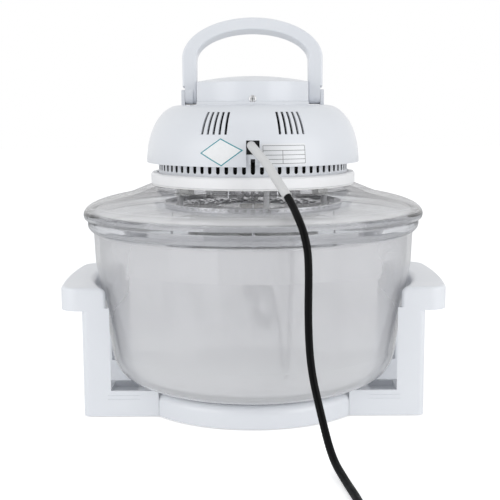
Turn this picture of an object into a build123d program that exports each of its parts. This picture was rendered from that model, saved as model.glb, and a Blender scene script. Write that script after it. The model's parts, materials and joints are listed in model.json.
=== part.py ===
"""Halogen oven: a glass bowl on a moulded stand, under a glass lid that carries the heating head.

Millimetres, +Z up, origin on the floor under the bowl's centre. The cord leaves on the +Y side (rear)
and the controls are on the -Y side (front). Radii are about the Z axis unless a line says otherwise.
"""
import os
from math import asin, cos, degrees, pi, radians, sin, sqrt, tan

from build123d import *

os.makedirs("parts", exist_ok=True)


def write(piece, name):
    """Label a finished piece and write it as the STEP file of its node."""
    piece.label = name
    export_step(piece, f"parts/{name}.step")


# ---------------------------------------------------------------- shared clearances
seat_gap = 0.3                # between pieces that lie against each other without a fit
running_gap = 0.05            # radial, between a shaft and its bush
screw_gap = 0.1               # radial, round a screw's shank

# ---------------------------------------------------------------- stand
foot_radius = 9.0
foot_height = 3.2
foot_proud = 1.2              # how far a foot stands out under the stand
tray_radius = 125.0
tray_wall = 3.0
tray_floor = 3.0
tray_top_z = 23.0
tray_edge_radius = 8.0
tray_rib_count = 8
tray_rib_thickness = 2.4
tray_rib_depth = 11.0
tray_hub_radius = 20.0
tray_rib_sink = 1.0           # how far a rib runs into the hub and the wall
pad_radius = 8.0
pad_proud = 1.0
pad_sink = 1.5
pad_ring_radius = 76.0
pad_angle = 41.0              # of the first pad, from +X
foot_inset = 19.0             # of the feet's middles, from the posts' outer sides
foot_chamfer = 0.6
arm_top_z = 27.0
post_corner_radius = 6.0
grip_corner_radius = 18.0
post_inner_y = 41.0           # the two posts of a side handle stand between these
post_outer_y = 81.0
post_proud = 4.0              # how far a post stands out past the bowl's neck
post_wrap = 2.5               # how far it reaches in under the neck
grip_wrap = 1.0               # the same for the grip
grip_reach = 23.5             # of the grip, out past the bowl's rim
grip_bow_radius = 600.0       # of its outer side, seen from above
grip_bottom_z = 108.5
grip_top_z = 132.0
grip_edge_radius = 3.0
grip_inner_edge_radius = 7.0
arm_pocket_depth = 6.0
arm_pocket_wall = 3.5
arm_pocket_inset = 27.0       # of the pocket's outer end, from the post's outer side
arm_groove_width = 0.9
arm_groove_depth = 0.6
arm_groove_drops = (4.4, 8.2)  # of the grooves, under the arm's top edge
arm_groove_length = 32.0
frame_screw_radius = 2.0
frame_screw_head_radius = 4.0
frame_screw_head_height = 2.2
frame_screw_length = 16.0
frame_screw_z = 12.0

# ---------------------------------------------------------------- glass bowl
glass_wall = 5.0
bowl_floor = 6.0
bowl_rim_radius = 173.0
bowl_rim_wall = 7.0           # of the thick rim band, at its bore
bowl_rim_height = 11.5
bowl_rim_z = 196.0
bowl_rim_step = 6.0           # of the rim band over the neck
bowl_neck_z = 180.5
bowl_neck_lean = 1.2          # of the wall, from neck down to shoulder
bowl_shoulder_z = 150.0
bowl_wall_lean = 14.3         # of the wall, from shoulder down to foot
bowl_foot_height = 38.0       # of the foot, where the corner sweep ends, over the bowl's underside
bowl_corner_run = 47.5        # of the corner sweep, from foot to flat underside
bowl_rim_inner_depth = 3.0    # of the straight bore at the top of the rim
bowl_rim_taper = 0.8
bowl_sweep_pull = 13.0        # the corner's two guide points: in from the wall along the floor,
bowl_sweep_lean = 2.0         # and in from the wall
bowl_sweep_rise = 12.0        # at this height over the underside
bowl_sweep_inner_rise = 10.0  # the same on the inside
rim_sweep_out = 0.5           # the guide points of the sweep from neck to rim band
rim_sweep_low = 2.0
rim_sweep_high = 3.5

# ---------------------------------------------------------------- glass lid
lid_hole_radius = 98.0
lid_land_margin = 0.5         # of the flat land round the head's flange, which sits on it
lid_land_z = 229.5
lid_crease_radius = 133.0
lid_crease_z = 219.0
lid_rim_overhang = 4.0        # past the bowl's rim
lid_rim_turn_z = 199.0
lid_sweep_run = 22.0          # the guide points of the sweep from crease to rim: in from the rim,
lid_sweep_drop = 4.4          # under the crease,
lid_sweep_rise = 12.0         # and over the turn
lid_under_run = 12.0          # the same on the underside, in from its bore
lid_under_rise = 11.0
lid_under_pull = 2.5
lid_bore_height = 6.5         # of the straight inner side over the bowl's rim
lid_edge_taper = 0.8
lid_under_crease_in = 1.2     # how far the underside's two creases lie inside the upper ones
lid_under_land_in = 1.0

# ---------------------------------------------------------------- heating head
gasket_thickness = 1.0
gasket_inset = 1.0            # from the flange's outer edge
gasket_bore_gap = 0.5         # round the lid's hole
flange_overhang = 8.5         # over the edge of the lid's hole
flange_height = 11.5
flange_groove_width = 2.0
flange_groove_depth = 1.6
flange_lip_width = 7.3        # of the lip that the heat shield lies under
flange_lip_thickness = 3.2
flange_low_chamfer = 0.8
flange_high_chamfer = 1.5
flange_bore_step = 1.5
clip_reach = 5.0              # under the lid, past the edge of its hole
clip_thickness = 1.5
clip_width = 14.0
shield_thickness = 1.2
shield_hole_radius = 8.0
flange_screw_count = 4
flange_screw_radius = 1.7
flange_screw_head_radius = 3.2
flange_screw_head_height = 1.8
flange_screw_inset = 4.2      # from the lip's inner edge
neck_inset = 8.0              # of the neck from the flange's outer edge
neck_seat = 2.2               # of the neck, on the flange outside the shield's recess
neck_wall = 2.5
neck_height = 14.5
neck_ledge_thickness = 2.0
vent_count = 72
vent_width = 3.8
vent_bottom_rise = 2.4        # of a vent's lowest point over the flange
vent_height = 9.0
dome_overhang = 12.0          # over the neck
dome_wall = 2.6
dome_bottom_z = 252.3
dome_top_z = 310.3
dome_flat_radius = 76.0
dome_side_pull = 32.7         # how straight the dome's side rises before it turns in
dome_top_pull = 19.0          # how flat its top runs before it turns down
dome_hole_radius = 50.0
slot_count = 5                # in each of the two groups at the rear
slot_pitch_deg = 3.28
slot_first_deg = 14.2         # from the rear centre line
slot_width = 2.5
slot_low_z = 282.7
slot_high_z = 303.7
notch_width = 12.6            # of the cord's notch in the dome's rear edge
notch_top_z = 277.3
tongue_top_z = 264.0          # of the plate behind the notch's lower half
tongue_thickness = 2.5
tongue_slot_width = 4.2
tongue_lap = 1.0              # of the plate past the notch, on each side
cap_radius = 62.0
cap_flat_x = 56.6
cap_wall = 2.5
cap_side_height = 22.9
cap_rise = 6.7
cap_flare = 4.0               # radius of the soft sweep from its side on to the dome
cap_recess_depth = 0.8        # of the screw heads in its side
cap_screw_z = 316.2
cap_screw_radius = 1.6
cap_screw_head_radius = 3.6
cap_screw_head_height = 1.8
cap_screw_length = 9.0
upstand_thickness = 2.4
upstand_height = 12.0
upstand_half_width = 30.0

# ---------------------------------------------------------------- carrying handle
pivot_z = 320.3
pin_radius = 3.0
handle_lean_deg = 6.0         # forward of upright, against its stop
handle_fold_deg = 86.0        # its travel, down over the rear
handle_end_radius = 9.5
handle_inner_x = 57.6
handle_outer_x = 72.2
handle_leg_outer_x = 69.6     # of the thinner leg ends between cap and ears
handle_leg_top = 8.5          # high enough to pass over the ear as the handle folds
handle_spring = 36.5          # height over the pivot where the arch begins
handle_outer_rise = 40.8
handle_inner_rise = 28.8
handle_top_depth = 34.0
handle_edge_radius = 2.0
ear_inner_x = 70.0
ear_outer_x = 73.6
ear_half_width = 7.5
ear_top_z = 326.0
ear_corner_radius = 4.0
cam_lift = 2.0
cam_width = 4.0
cam_x = 63.6
cam_play = 1.0                # of the cam in its slot
cam_slot_length = 13.0        # of the slot in the dome that the cam dips into

# ---------------------------------------------------------------- safety switch
plunger_radius = 2.0
plunger_travel = 2.6
plunger_length = 12.0
plunger_gap = 0.3             # between the plunger's top and the handle's leg
switch_size = (14.0, 12.0, 14.0)

# ---------------------------------------------------------------- controls
panel_width = 112.0
panel_height = 42.0
panel_corner_radius = 10.0
panel_proud = 2.5             # of its face, in front of the dome
panel_depth = 50.0            # how far its opening runs back into the dome
panel_wall = 2.6
panel_edge_radius = 1.5
panel_mid_z = 277.0
knob_x = 31.0
knob_radius = 15.5
knob_length = 15.0
knob_skirt_radius = 18.0
knob_skirt_length = 3.0
knob_gap = 0.6
knob_bar_width = 6.0
knob_bar_rise = 5.0           # of the grip bar over the knob's round face
knob_edge_radius = 1.0
spindle_reach = 12.0          # of the bore in a control unit
spindle_radius = 3.0
lamp_radius = 3.0
lamp_rise = 7.0               # of each lamp from the panel's middle
lamp_proud = 1.2
unit_size = 30.0
unit_depth = 20.0

# ---------------------------------------------------------------- motor and fans
shaft_radius = 3.0
shaft_bottom_z = 209.0
shaft_top_z = 303.0
bush_radius = 6.0
bush_height = 8.0
bracket_radius = 56.0
bracket_column_radius = 52.0  # of the circle on which its columns stand
bracket_column_width = 8.0
bracket_thickness = 1.5
bracket_low_z = 241.0
bracket_high_z = 281.0
bolt_radius = 1.5
bolt_head_radius = 3.0
bolt_head_height = 2.2
bolt_boss_radius = 4.0
bolt_inset = 6.0              # of the motor's long bolts, from the sides of its laminations
stator_size = (66.0, 58.0, 20.0)
stator_y = -2.0               # middle of the laminations
stator_z = 262.0
stator_bore_radius = 16.0
stator_limb = 8.0             # the straight limb that the coil is wound on
rotor_gap = 0.6
coil_length = 32.0
coil_build = 7.4              # of the winding on each side of its limb
fan_disc_radius = 50.0
fan_disc_z = 226.0
fan_disc_thickness = 1.2
fan_blade_count = 12
fan_blade_height = 10.0
fan_blade_thickness = 1.2
fan_blade_inner_radius = 24.0
fan_hub_radius = 8.0
fan_nut_size = 5.5
fan_nut_height = 4.0
shaft_thread_proud = 1.0      # of the shaft's threaded end, under the nut's seat
cooler_radius = 44.0
cooler_hub_radius = 9.0
cooler_blade_count = 7
cooler_z = 291.0
cooler_height = 9.0
cooler_pitch_deg = 30.0
cooler_blade_sink = 2.0       # how far a blade runs into its hub

# ---------------------------------------------------------------- reflector and lamp
post_radius = 3.0
post_circle_radius = 77.0
post_first_deg = 99.8
post_count = 4
pan_gap = 4.6                 # between the pan and the edge of the lid's hole
pan_wall = 1.2
pan_bottom_z = 203.8
pan_rim_z = 211.0
pan_corner_radius = 3.0
pan_hole_radius = 34.0
tube_ring_radius = 64.0
tube_radius = 4.5
tube_z = 197.2
tube_gap_deg = 28.0           # of the ring left open between the two lamp holders
holder_size = (14.0, 13.0, 12.0)
guard_ring_radii = (26.0, 46.0, 66.0, 86.0)
guard_wire_radius = 1.1
guard_z = 189.5
guard_leg_radius = 1.3
guard_leg_count = 4
guard_weld = 0.4              # how far a spoke sinks into the rings it is welded to
guard_spoke_end = 1.0         # how far it runs past the inner ring

# ---------------------------------------------------------------- mains side
block_size = (36.0, 14.0, 14.0)
block_y = 70.0
cutout_radius = 9.0
cutout_height = 8.0
clamp_size = (14.0, 6.0, 22.0)
sleeve_radius = 4.2
sleeve_points = [
    (1.5, 92.0, 272.6), (1.5, 115.0, 272.6), (-12.6, 129.0, 257.2), (-21.8, 143.0, 242.5), (-30.8, 157.0, 229.1),
]
cord_radius = 3.5
cord_lift = 0.1               # of a cord that lies on the floor, so that it only just touches
coil_mid_radius = 38.5
coil_center = (-40.0, 376.0)
coil_turns_wide = 2
coil_layers = 2
floor_z = cord_radius + cord_lift
cord_points = [
    (-30.8, 157.0, 229.1), (-33.7, 161.6, 224.7), (-40.5, 180.0, 209.8), (-44.5, 185.5, 198.6),
    (-47.7, 187.5, 183.5), (-48.5, 188.0, 163.0), (-48.0, 187.0, 120.0), (-50.5, 188.5, 78.0),
    (-59.0, 199.0, 40.0), (-67.0, 223.0, 9.0), (-75.0, 262.0, floor_z), (-81.5, 302.0, floor_z),
    (-84.5, 338.0, floor_z), (-82.0, 362.0, floor_z),
]
plug_length = 38.0
plug_width = 36.0
plug_thickness = 25.0
plug_relief_length = 24.0
plug_pin_length = 18.0
plug_pin_size = (6.3, 1.6)
plug_pin_offset = 7.9
plug_relief_radius = 4.5      # at the cord
plug_corner_radius = 8.3
plug_edge_radius = 2.0
coil_turns = 3.25

# ---------------------------------------------------------------- derived places
bowl_rim_inner_radius = bowl_rim_radius - bowl_rim_wall
bowl_neck_radius = bowl_rim_radius - bowl_rim_step
bowl_shoulder_radius = bowl_neck_radius - bowl_neck_lean
bowl_foot_radius = bowl_shoulder_radius - bowl_wall_lean
bowl_flat_radius = bowl_foot_radius - bowl_corner_run
lid_rim_radius = bowl_rim_radius + lid_rim_overhang
post_inner_radius = bowl_neck_radius - post_wrap
post_outer_x = bowl_neck_radius + post_proud
foot_x = post_outer_x - foot_inset
grip_inner_radius = bowl_neck_radius - grip_wrap
grip_outer_x = bowl_rim_radius + grip_reach
flange_radius = lid_hole_radius + flange_overhang
lid_land_radius = flange_radius + lid_land_margin
neck_radius = flange_radius - neck_inset
flange_inner_radius = neck_radius - neck_seat
flange_lip_inner_radius = flange_inner_radius - flange_lip_width
flange_screw_ring_radius = flange_lip_inner_radius + flange_screw_inset
clip_inner_radius = flange_lip_inner_radius
clip_tip_radius = lid_hole_radius + clip_reach
dome_radius = neck_radius + dome_overhang
panel_face_y = -(dome_radius + panel_proud)
pan_radius = lid_hole_radius - pan_gap
bowl_bottom_z = tray_top_z + pad_proud
bowl_inner_z = bowl_bottom_z + bowl_floor
bowl_foot_z = bowl_bottom_z + bowl_foot_height
flange_bottom_z = lid_land_z + gasket_thickness
flange_top_z = flange_bottom_z + flange_height
lid_land_underside_z = lid_land_z - glass_wall
shield_bottom_z = flange_bottom_z
shield_top_z = shield_bottom_z + shield_thickness
shield_radius = flange_inner_radius - seat_gap
clip_step_radius = lid_hole_radius - seat_gap
neck_top_z = flange_top_z + neck_height
cap_top_z = dome_top_z + cap_side_height
pan_floor_z = pan_bottom_z + pan_wall
dome_inner_top_z = dome_top_z - dome_wall
post_mid_y = (post_inner_y + post_outer_y) / 2
post_depth = post_outer_y - post_inner_y
frame_screw_deg = degrees(asin(post_mid_y / tray_radius))
frame_screw_angles = (frame_screw_deg, 180 - frame_screw_deg, 180 + frame_screw_deg, -frame_screw_deg)
pin_inner_x = cap_flat_x - cap_wall - 0.5
leg_bottom_z = pivot_z - handle_end_radius
panel_back_y = panel_face_y + panel_wall
knob_face_y = panel_face_y - knob_gap


# ---------------------------------------------------------------- glass profiles, shared by what they seat on
def bowl_outline(grow=0.0):
    """The bowl's outside, from the axis to the top of its rim, grown outwards by a clearance."""
    low = bowl_bottom_z - grow
    foot = (bowl_foot_radius + grow, bowl_foot_z)
    with BuildLine() as outline:
        Line((0, low), (bowl_flat_radius, low))
        Bezier(
            (bowl_flat_radius, low),
            (bowl_foot_radius - bowl_sweep_pull + grow, low),
            (bowl_foot_radius - bowl_sweep_lean + grow, bowl_bottom_z + bowl_sweep_rise),
            foot,
        )
        Line(foot, (bowl_shoulder_radius + grow, bowl_shoulder_z))
        Line((bowl_shoulder_radius + grow, bowl_shoulder_z), (bowl_neck_radius + grow, bowl_neck_z))
        Bezier(
            (bowl_neck_radius + grow, bowl_neck_z),
            (bowl_neck_radius + rim_sweep_out + grow, bowl_neck_z + rim_sweep_low),
            (bowl_rim_radius + grow, bowl_neck_z + rim_sweep_high),
            (bowl_rim_radius + grow, bowl_rim_z - bowl_rim_height / 2),
        )
        rim_edge = (bowl_rim_radius - bowl_rim_taper + grow, bowl_rim_z)
        Line((bowl_rim_radius + grow, bowl_rim_z - bowl_rim_height / 2), rim_edge)
        Line(rim_edge, (0, bowl_rim_z))
        Line((0, bowl_rim_z), (0, low))
    return outline


def dome_outline(inset=0.0):
    """The head's dome from the axis, as the outer skin or set inwards by a wall."""
    side = dome_radius - inset
    top = dome_top_z - inset
    with BuildLine() as outline:
        Line((0, dome_bottom_z), (side, dome_bottom_z))
        Bezier(
            (side, dome_bottom_z),
            (side, dome_bottom_z + dome_side_pull),
            (dome_flat_radius + dome_top_pull - inset / 2, top),
            (dome_flat_radius, top),
        )
        Line((dome_flat_radius, top), (0, top))
        Line((0, top), (0, dome_bottom_z))
    return outline


def turned(outline):
    """A solid of revolution about +Z from an outline in the XZ plane."""
    with BuildPart() as solid:
        with BuildSketch(Plane.XZ):
            add(outline.line)
            make_face()
        revolve(axis=Axis.Z)
    return solid.part


bowl_clearance = turned(bowl_outline(seat_gap))
dome_body = turned(dome_outline())
dome_cavity = turned(dome_outline(dome_wall))

# ---------------------------------------------------------------- stand: tray, side handles, feet, pads, screws
with BuildPart() as base_tray:
    with BuildSketch(Plane.XZ):
        with BuildLine():
            Line((0, tray_top_z), (tray_radius - tray_edge_radius, tray_top_z))
            RadiusArc(
                (tray_radius - tray_edge_radius, tray_top_z),
                (tray_radius, tray_top_z - tray_edge_radius),
                tray_edge_radius,
            )
            Line((tray_radius, tray_top_z - tray_edge_radius), (tray_radius, foot_proud))
            Line((tray_radius, foot_proud), (tray_radius - tray_wall, foot_proud))
            inner_turn = tray_top_z - tray_edge_radius
            Line((tray_radius - tray_wall, foot_proud), (tray_radius - tray_wall, inner_turn))
            RadiusArc(
                (tray_radius - tray_wall, inner_turn),
                (tray_radius - tray_edge_radius, tray_top_z - tray_floor),
                tray_wall - tray_edge_radius,
            )
            Line((tray_radius - tray_edge_radius, tray_top_z - tray_floor), (0, tray_top_z - tray_floor))
            Line((0, tray_top_z - tray_floor), (0, tray_top_z))
        make_face()
    revolve(axis=Axis.Z)
    with BuildSketch(Plane.XY.offset(tray_top_z - tray_floor)):
        Circle(tray_hub_radius)
        Circle(tray_hub_radius - tray_wall, mode=Mode.SUBTRACT)
        rib_length = tray_radius - tray_wall - tray_hub_radius + 2 * tray_rib_sink
        with PolarLocations(tray_hub_radius - tray_rib_sink + rib_length / 2, tray_rib_count):
            Rectangle(rib_length, tray_rib_thickness)
    extrude(amount=-tray_rib_depth)
    with Locations((0, 0, tray_top_z - pad_sink / 2)):
        with PolarLocations(pad_ring_radius, 4, start_angle=pad_angle):
            Cylinder(pad_radius, pad_sink, mode=Mode.SUBTRACT)
    with Locations((0, 0, frame_screw_z)):
        for angle in frame_screw_angles:
            with PolarLocations(tray_radius, 1, start_angle=angle):
                Cylinder(
                    frame_screw_radius + screw_gap, 4 * tray_wall, rotation=(0, 90, 0), mode=Mode.SUBTRACT
                )
write(base_tray.part, "base_tray")


with BuildPart() as side_handle_right:
    with BuildSketch(Plane.XY.offset(foot_proud)):
        for side in (-1, 1):
            with Locations((post_outer_x / 2, side * post_mid_y)):
                Rectangle(post_outer_x, post_depth)
        Circle(tray_radius + seat_gap, mode=Mode.SUBTRACT)
        fillet(vertices().group_by(Axis.X)[-1], post_corner_radius)
    extrude(amount=arm_top_z - foot_proud)
    with BuildSketch(Plane.XY.offset(foot_proud)):
        for side in (-1, 1):
            with Locations((post_outer_x / 2, side * post_mid_y)):
                Rectangle(post_outer_x, post_depth)
        Circle(post_inner_radius, mode=Mode.SUBTRACT)
        fillet(vertices().group_by(Axis.X)[-1], post_corner_radius)
    extrude(amount=grip_bottom_z + grip_edge_radius - foot_proud)
    with BuildSketch(Plane.XY.offset(grip_bottom_z)):
        with Locations((grip_outer_x, 0)):
            Rectangle(2 * grip_outer_x, 2 * post_outer_y)
        with Locations((grip_outer_x - grip_bow_radius, 0)):
            Circle(grip_bow_radius, mode=Mode.INTERSECT)
        Circle(grip_inner_radius, mode=Mode.SUBTRACT)
        outer_corners = vertices().sort_by(Axis.X)[-2:]
        fillet(outer_corners, grip_corner_radius)
    extrude(amount=grip_top_z - grip_bottom_z)
    grip_rim = faces().sort_by(Axis.Z)[-1].edges()
    inner_rim = grip_rim.filter_by(GeomType.CIRCLE).sort_by(Axis.X)[0]
    fillet(inner_rim, grip_inner_edge_radius)
    fillet(faces().sort_by(Axis.Z)[-1].edges().sort_by(Axis.X)[1:], grip_edge_radius)
    pocket_start_x = tray_radius - tray_edge_radius
    pocket_length = post_outer_x - arm_pocket_inset - pocket_start_x
    pocket_x = pocket_start_x + pocket_length / 2
    for side in (-1, 1):
        with Locations((pocket_x, side * post_mid_y, arm_top_z)):
            Box(
                pocket_length, post_depth - 2 * arm_pocket_wall, 2 * arm_pocket_depth, mode=Mode.SUBTRACT
            )
        for drop in arm_groove_drops:
            with Locations((pocket_x, side * post_outer_y, arm_top_z - drop)):
                Box(arm_groove_length, 2 * arm_groove_depth, arm_groove_width, mode=Mode.SUBTRACT)
        with Locations((foot_x, side * post_mid_y, foot_proud)):
            Cylinder(foot_radius + screw_gap, 2 * (foot_height - foot_proud), mode=Mode.SUBTRACT)
        with Locations((0, 0, frame_screw_z)):
            with PolarLocations(tray_radius, 1, start_angle=side * frame_screw_deg):
                Cylinder(
                    frame_screw_radius + screw_gap, 2 * frame_screw_length, rotation=(0, 90, 0),
                    mode=Mode.SUBTRACT,
                )
    add(bowl_clearance, mode=Mode.SUBTRACT)
write(side_handle_right.part, "side_handle_right")

with BuildPart() as side_handle_left:
    mirror(side_handle_right.part, about=Plane.YZ)
write(side_handle_left.part, "side_handle_left")

with BuildPart() as frame_screws:
    head_middle = tray_radius - tray_wall - frame_screw_head_height / 2 - screw_gap
    shank_middle = tray_radius - tray_wall + frame_screw_length / 2 - screw_gap
    with Locations((0, 0, frame_screw_z)):
        for angle in frame_screw_angles:
            with PolarLocations(head_middle, 1, start_angle=angle):
                Cylinder(frame_screw_head_radius, frame_screw_head_height, rotation=(0, 90, 0))
            with PolarLocations(shank_middle, 1, start_angle=angle):
                Cylinder(frame_screw_radius, frame_screw_length, rotation=(0, 90, 0))
write(frame_screws.part, "frame_screws")

with BuildPart() as rubber_feet:
    with Locations((0, 0, foot_height / 2)):
        with GridLocations(2 * foot_x, 2 * post_mid_y, 2, 2):
            Cylinder(foot_radius, foot_height)
    chamfer(faces().group_by(Axis.Z)[0].edges(), foot_chamfer)
write(rubber_feet.part, "rubber_feet")

with BuildPart() as bowl_pads:
    with Locations((0, 0, tray_top_z + (pad_proud - pad_sink) / 2)):
        with PolarLocations(pad_ring_radius, 4, start_angle=pad_angle):
            Cylinder(pad_radius - screw_gap, pad_proud + pad_sink)
write(bowl_pads.part, "bowl_pads")

# ---------------------------------------------------------------- glass bowl and lid
with BuildPart() as bowl_hollow:
    with BuildSketch(Plane.XZ):
        with BuildLine():
            inner_foot = (bowl_foot_radius - glass_wall, bowl_foot_z)
            inner_shoulder = (bowl_shoulder_radius - glass_wall, bowl_shoulder_z)
            inner_neck = (bowl_neck_radius - glass_wall, bowl_neck_z)
            Line((0, bowl_inner_z), (bowl_flat_radius - glass_wall, bowl_inner_z))
            Bezier(
                (bowl_flat_radius - glass_wall, bowl_inner_z),
                (bowl_foot_radius - bowl_sweep_pull - glass_wall, bowl_inner_z),
                (bowl_foot_radius - bowl_sweep_lean - glass_wall, bowl_inner_z + bowl_sweep_inner_rise),
                inner_foot,
            )
            Line(inner_foot, inner_shoulder)
            Line(inner_shoulder, inner_neck)
            bore_edge = (bowl_rim_inner_radius, bowl_rim_z - bowl_rim_inner_depth)
            Line(inner_neck, bore_edge)
            Line(bore_edge, (bowl_rim_inner_radius, bowl_rim_z))
            Line((bowl_rim_inner_radius, bowl_rim_z), (0, bowl_rim_z))
            Line((0, bowl_rim_z), (0, bowl_inner_z))
        make_face()
    revolve(axis=Axis.Z)

with BuildPart() as glass_bowl:
    add(turned(bowl_outline()))
    add(bowl_hollow.part, mode=Mode.SUBTRACT)
write(glass_bowl.part, "glass_bowl")

with BuildPart() as glass_lid:
    with BuildSketch(Plane.XZ):
        with BuildLine():
            crease = (lid_crease_radius, lid_crease_z)
            under_crease = (lid_crease_radius - lid_under_crease_in, lid_crease_z - glass_wall)
            under_land = (lid_land_radius - lid_under_land_in, lid_land_underside_z)
            turn = (lid_rim_radius, lid_rim_turn_z)
            Line((lid_hole_radius, lid_land_z), (lid_land_radius, lid_land_z))
            Line((lid_land_radius, lid_land_z), crease)
            Bezier(
                crease,
                (lid_rim_radius - lid_sweep_run, lid_crease_z - lid_sweep_drop),
                (lid_rim_radius, lid_rim_turn_z + lid_sweep_rise),
                turn,
            )
            lower_edge = (lid_rim_radius - lid_edge_taper, bowl_rim_z)
            bore_top = (bowl_rim_inner_radius, bowl_rim_z + lid_bore_height)
            Line(turn, lower_edge)
            Line(lower_edge, (bowl_rim_inner_radius, bowl_rim_z))
            Line((bowl_rim_inner_radius, bowl_rim_z), bore_top)
            Bezier(
                bore_top,
                (bowl_rim_inner_radius - lid_under_pull, bowl_rim_z + lid_under_rise),
                (bowl_rim_inner_radius - lid_under_run, lid_crease_z - lid_sweep_drop - glass_wall),
                under_crease,
            )
            Line(under_crease, under_land)
            Line(under_land, (lid_hole_radius, lid_land_underside_z))
            Line((lid_hole_radius, lid_land_underside_z), (lid_hole_radius, lid_land_z))
        make_face()
    revolve(axis=Axis.Z)
write(glass_lid.part, "glass_lid")


def washer(outer_radius, inner_radius, low_z, high_z):
    """A flat ring about +Z."""
    with BuildPart() as ring:
        with BuildSketch(Plane.XY.offset(low_z)):
            Circle(outer_radius)
            Circle(inner_radius, mode=Mode.SUBTRACT)
        extrude(amount=high_z - low_z)
    return ring.part


lid_gasket = washer(
    flange_radius - gasket_inset, lid_hole_radius + gasket_bore_gap, lid_land_z, flange_bottom_z
)
write(lid_gasket, "lid_gasket")

# ---------------------------------------------------------------- head: clips, flange, vents, dome, cap
with BuildPart() as flange_screw_holes:
    with Locations((0, 0, flange_bottom_z)):
        with PolarLocations(flange_screw_ring_radius, flange_screw_count, start_angle=45):
            Cylinder(flange_screw_radius + screw_gap, 3 * flange_height)

clip_low_z = lid_land_underside_z - clip_thickness
with BuildPart() as clip_places:
    with Locations((0, 0, clip_low_z)):
        with PolarLocations(clip_tip_radius, flange_screw_count, start_angle=45):
            Box(clip_tip_radius, clip_width, 4 * glass_wall)

with BuildPart() as lid_clips:
    with BuildSketch(Plane.XZ):
        with BuildLine():
            Polyline(
                (clip_inner_radius, clip_low_z),
                (clip_tip_radius, clip_low_z),
                (clip_tip_radius, lid_land_underside_z),
                (clip_step_radius, lid_land_underside_z),
                (clip_step_radius, shield_bottom_z),
                (clip_inner_radius, shield_bottom_z),
                close=True,
            )
        make_face()
    revolve(axis=Axis.Z)
    add(clip_places.part, mode=Mode.INTERSECT)
    add(flange_screw_holes.part, mode=Mode.SUBTRACT)
write(lid_clips.part, "lid_clips")

with BuildPart() as heat_shield:
    add(washer(shield_radius, shield_hole_radius, shield_bottom_z, shield_top_z))
    add(flange_screw_holes.part, mode=Mode.SUBTRACT)
write(heat_shield.part, "heat_shield")

with BuildPart() as head_flange:
    with BuildSketch(Plane.XZ):
        with BuildLine():
            groove_radius = neck_radius + seat_gap + flange_groove_width
            Polyline(
                (flange_inner_radius, flange_bottom_z),
                (flange_radius - flange_low_chamfer, flange_bottom_z),
                (flange_radius, flange_bottom_z + flange_low_chamfer),
                (flange_radius, flange_top_z - flange_high_chamfer),
                (flange_radius - flange_high_chamfer, flange_top_z),
                (groove_radius, flange_top_z),
                (groove_radius, flange_top_z - flange_groove_depth),
                (neck_radius, flange_top_z - flange_groove_depth),
                (neck_radius, flange_top_z),
                (flange_inner_radius - flange_bore_step, flange_top_z),
                (flange_inner_radius - flange_bore_step, shield_top_z + flange_lip_thickness),
                (flange_lip_inner_radius, shield_top_z + flange_lip_thickness),
                (flange_lip_inner_radius, shield_top_z),
                (flange_inner_radius, shield_top_z),
                close=True,
            )
        make_face()
    revolve(axis=Axis.Z)
    add(flange_screw_holes.part, mode=Mode.SUBTRACT)
write(head_flange.part, "head_flange")

with BuildPart() as flange_screws:
    head_z = clip_low_z - flange_screw_head_height
    with Locations((0, 0, head_z + flange_screw_head_height / 2)):
        with PolarLocations(flange_screw_ring_radius, flange_screw_count, start_angle=45):
            Cylinder(flange_screw_head_radius, flange_screw_head_height)
    with Locations((0, 0, (head_z + shield_top_z + flange_lip_thickness) / 2)):
        with PolarLocations(flange_screw_ring_radius, flange_screw_count, start_angle=45):
            Cylinder(flange_screw_radius, shield_top_z + flange_lip_thickness - head_z)
write(flange_screws.part, "flange_screws")

with BuildPart() as vent_neck:
    ledge_radius = dome_radius - dome_wall - seat_gap
    with BuildSketch(Plane.XZ):
        with BuildLine():
            Polyline(
                (neck_radius - neck_wall, flange_top_z),
                (neck_radius, flange_top_z),
                (neck_radius, neck_top_z - neck_ledge_thickness),
                (ledge_radius, neck_top_z - neck_ledge_thickness),
                (ledge_radius, neck_top_z),
                (neck_radius - neck_wall, neck_top_z),
                close=True,
            )
        make_face()
    revolve(axis=Axis.Z)
    tongue_y = ledge_radius - tongue_thickness
    with Locations((0, tongue_y, (neck_top_z + tongue_top_z) / 2)):
        Box(notch_width + 2 * tongue_lap, tongue_thickness, tongue_top_z - neck_top_z)
    vent_low = flange_top_z + vent_bottom_rise + vent_width / 2
    vent_high = flange_top_z + vent_bottom_rise + vent_height
    with Locations((0, 0, (vent_low + vent_high) / 2)):
        with PolarLocations(neck_radius, vent_count):
            Box(3 * neck_wall, vent_width, vent_high - vent_low, mode=Mode.SUBTRACT)
    with Locations((0, 0, vent_low)):
        with PolarLocations(neck_radius, vent_count):
            Cylinder(vent_width / 2, 3 * neck_wall, rotation=(0, 90, 0), mode=Mode.SUBTRACT)
    tall_slot_top = tongue_top_z - tongue_slot_width
    with BuildSketch(Plane.XY.offset(vent_low)):
        with Locations((0, (neck_radius + ledge_radius) / 2)):
            Rectangle(tongue_slot_width, ledge_radius - neck_radius + 4 * neck_wall)
    extrude(amount=tall_slot_top - vent_low, mode=Mode.SUBTRACT)
write(vent_neck.part, "vent_neck")

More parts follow.
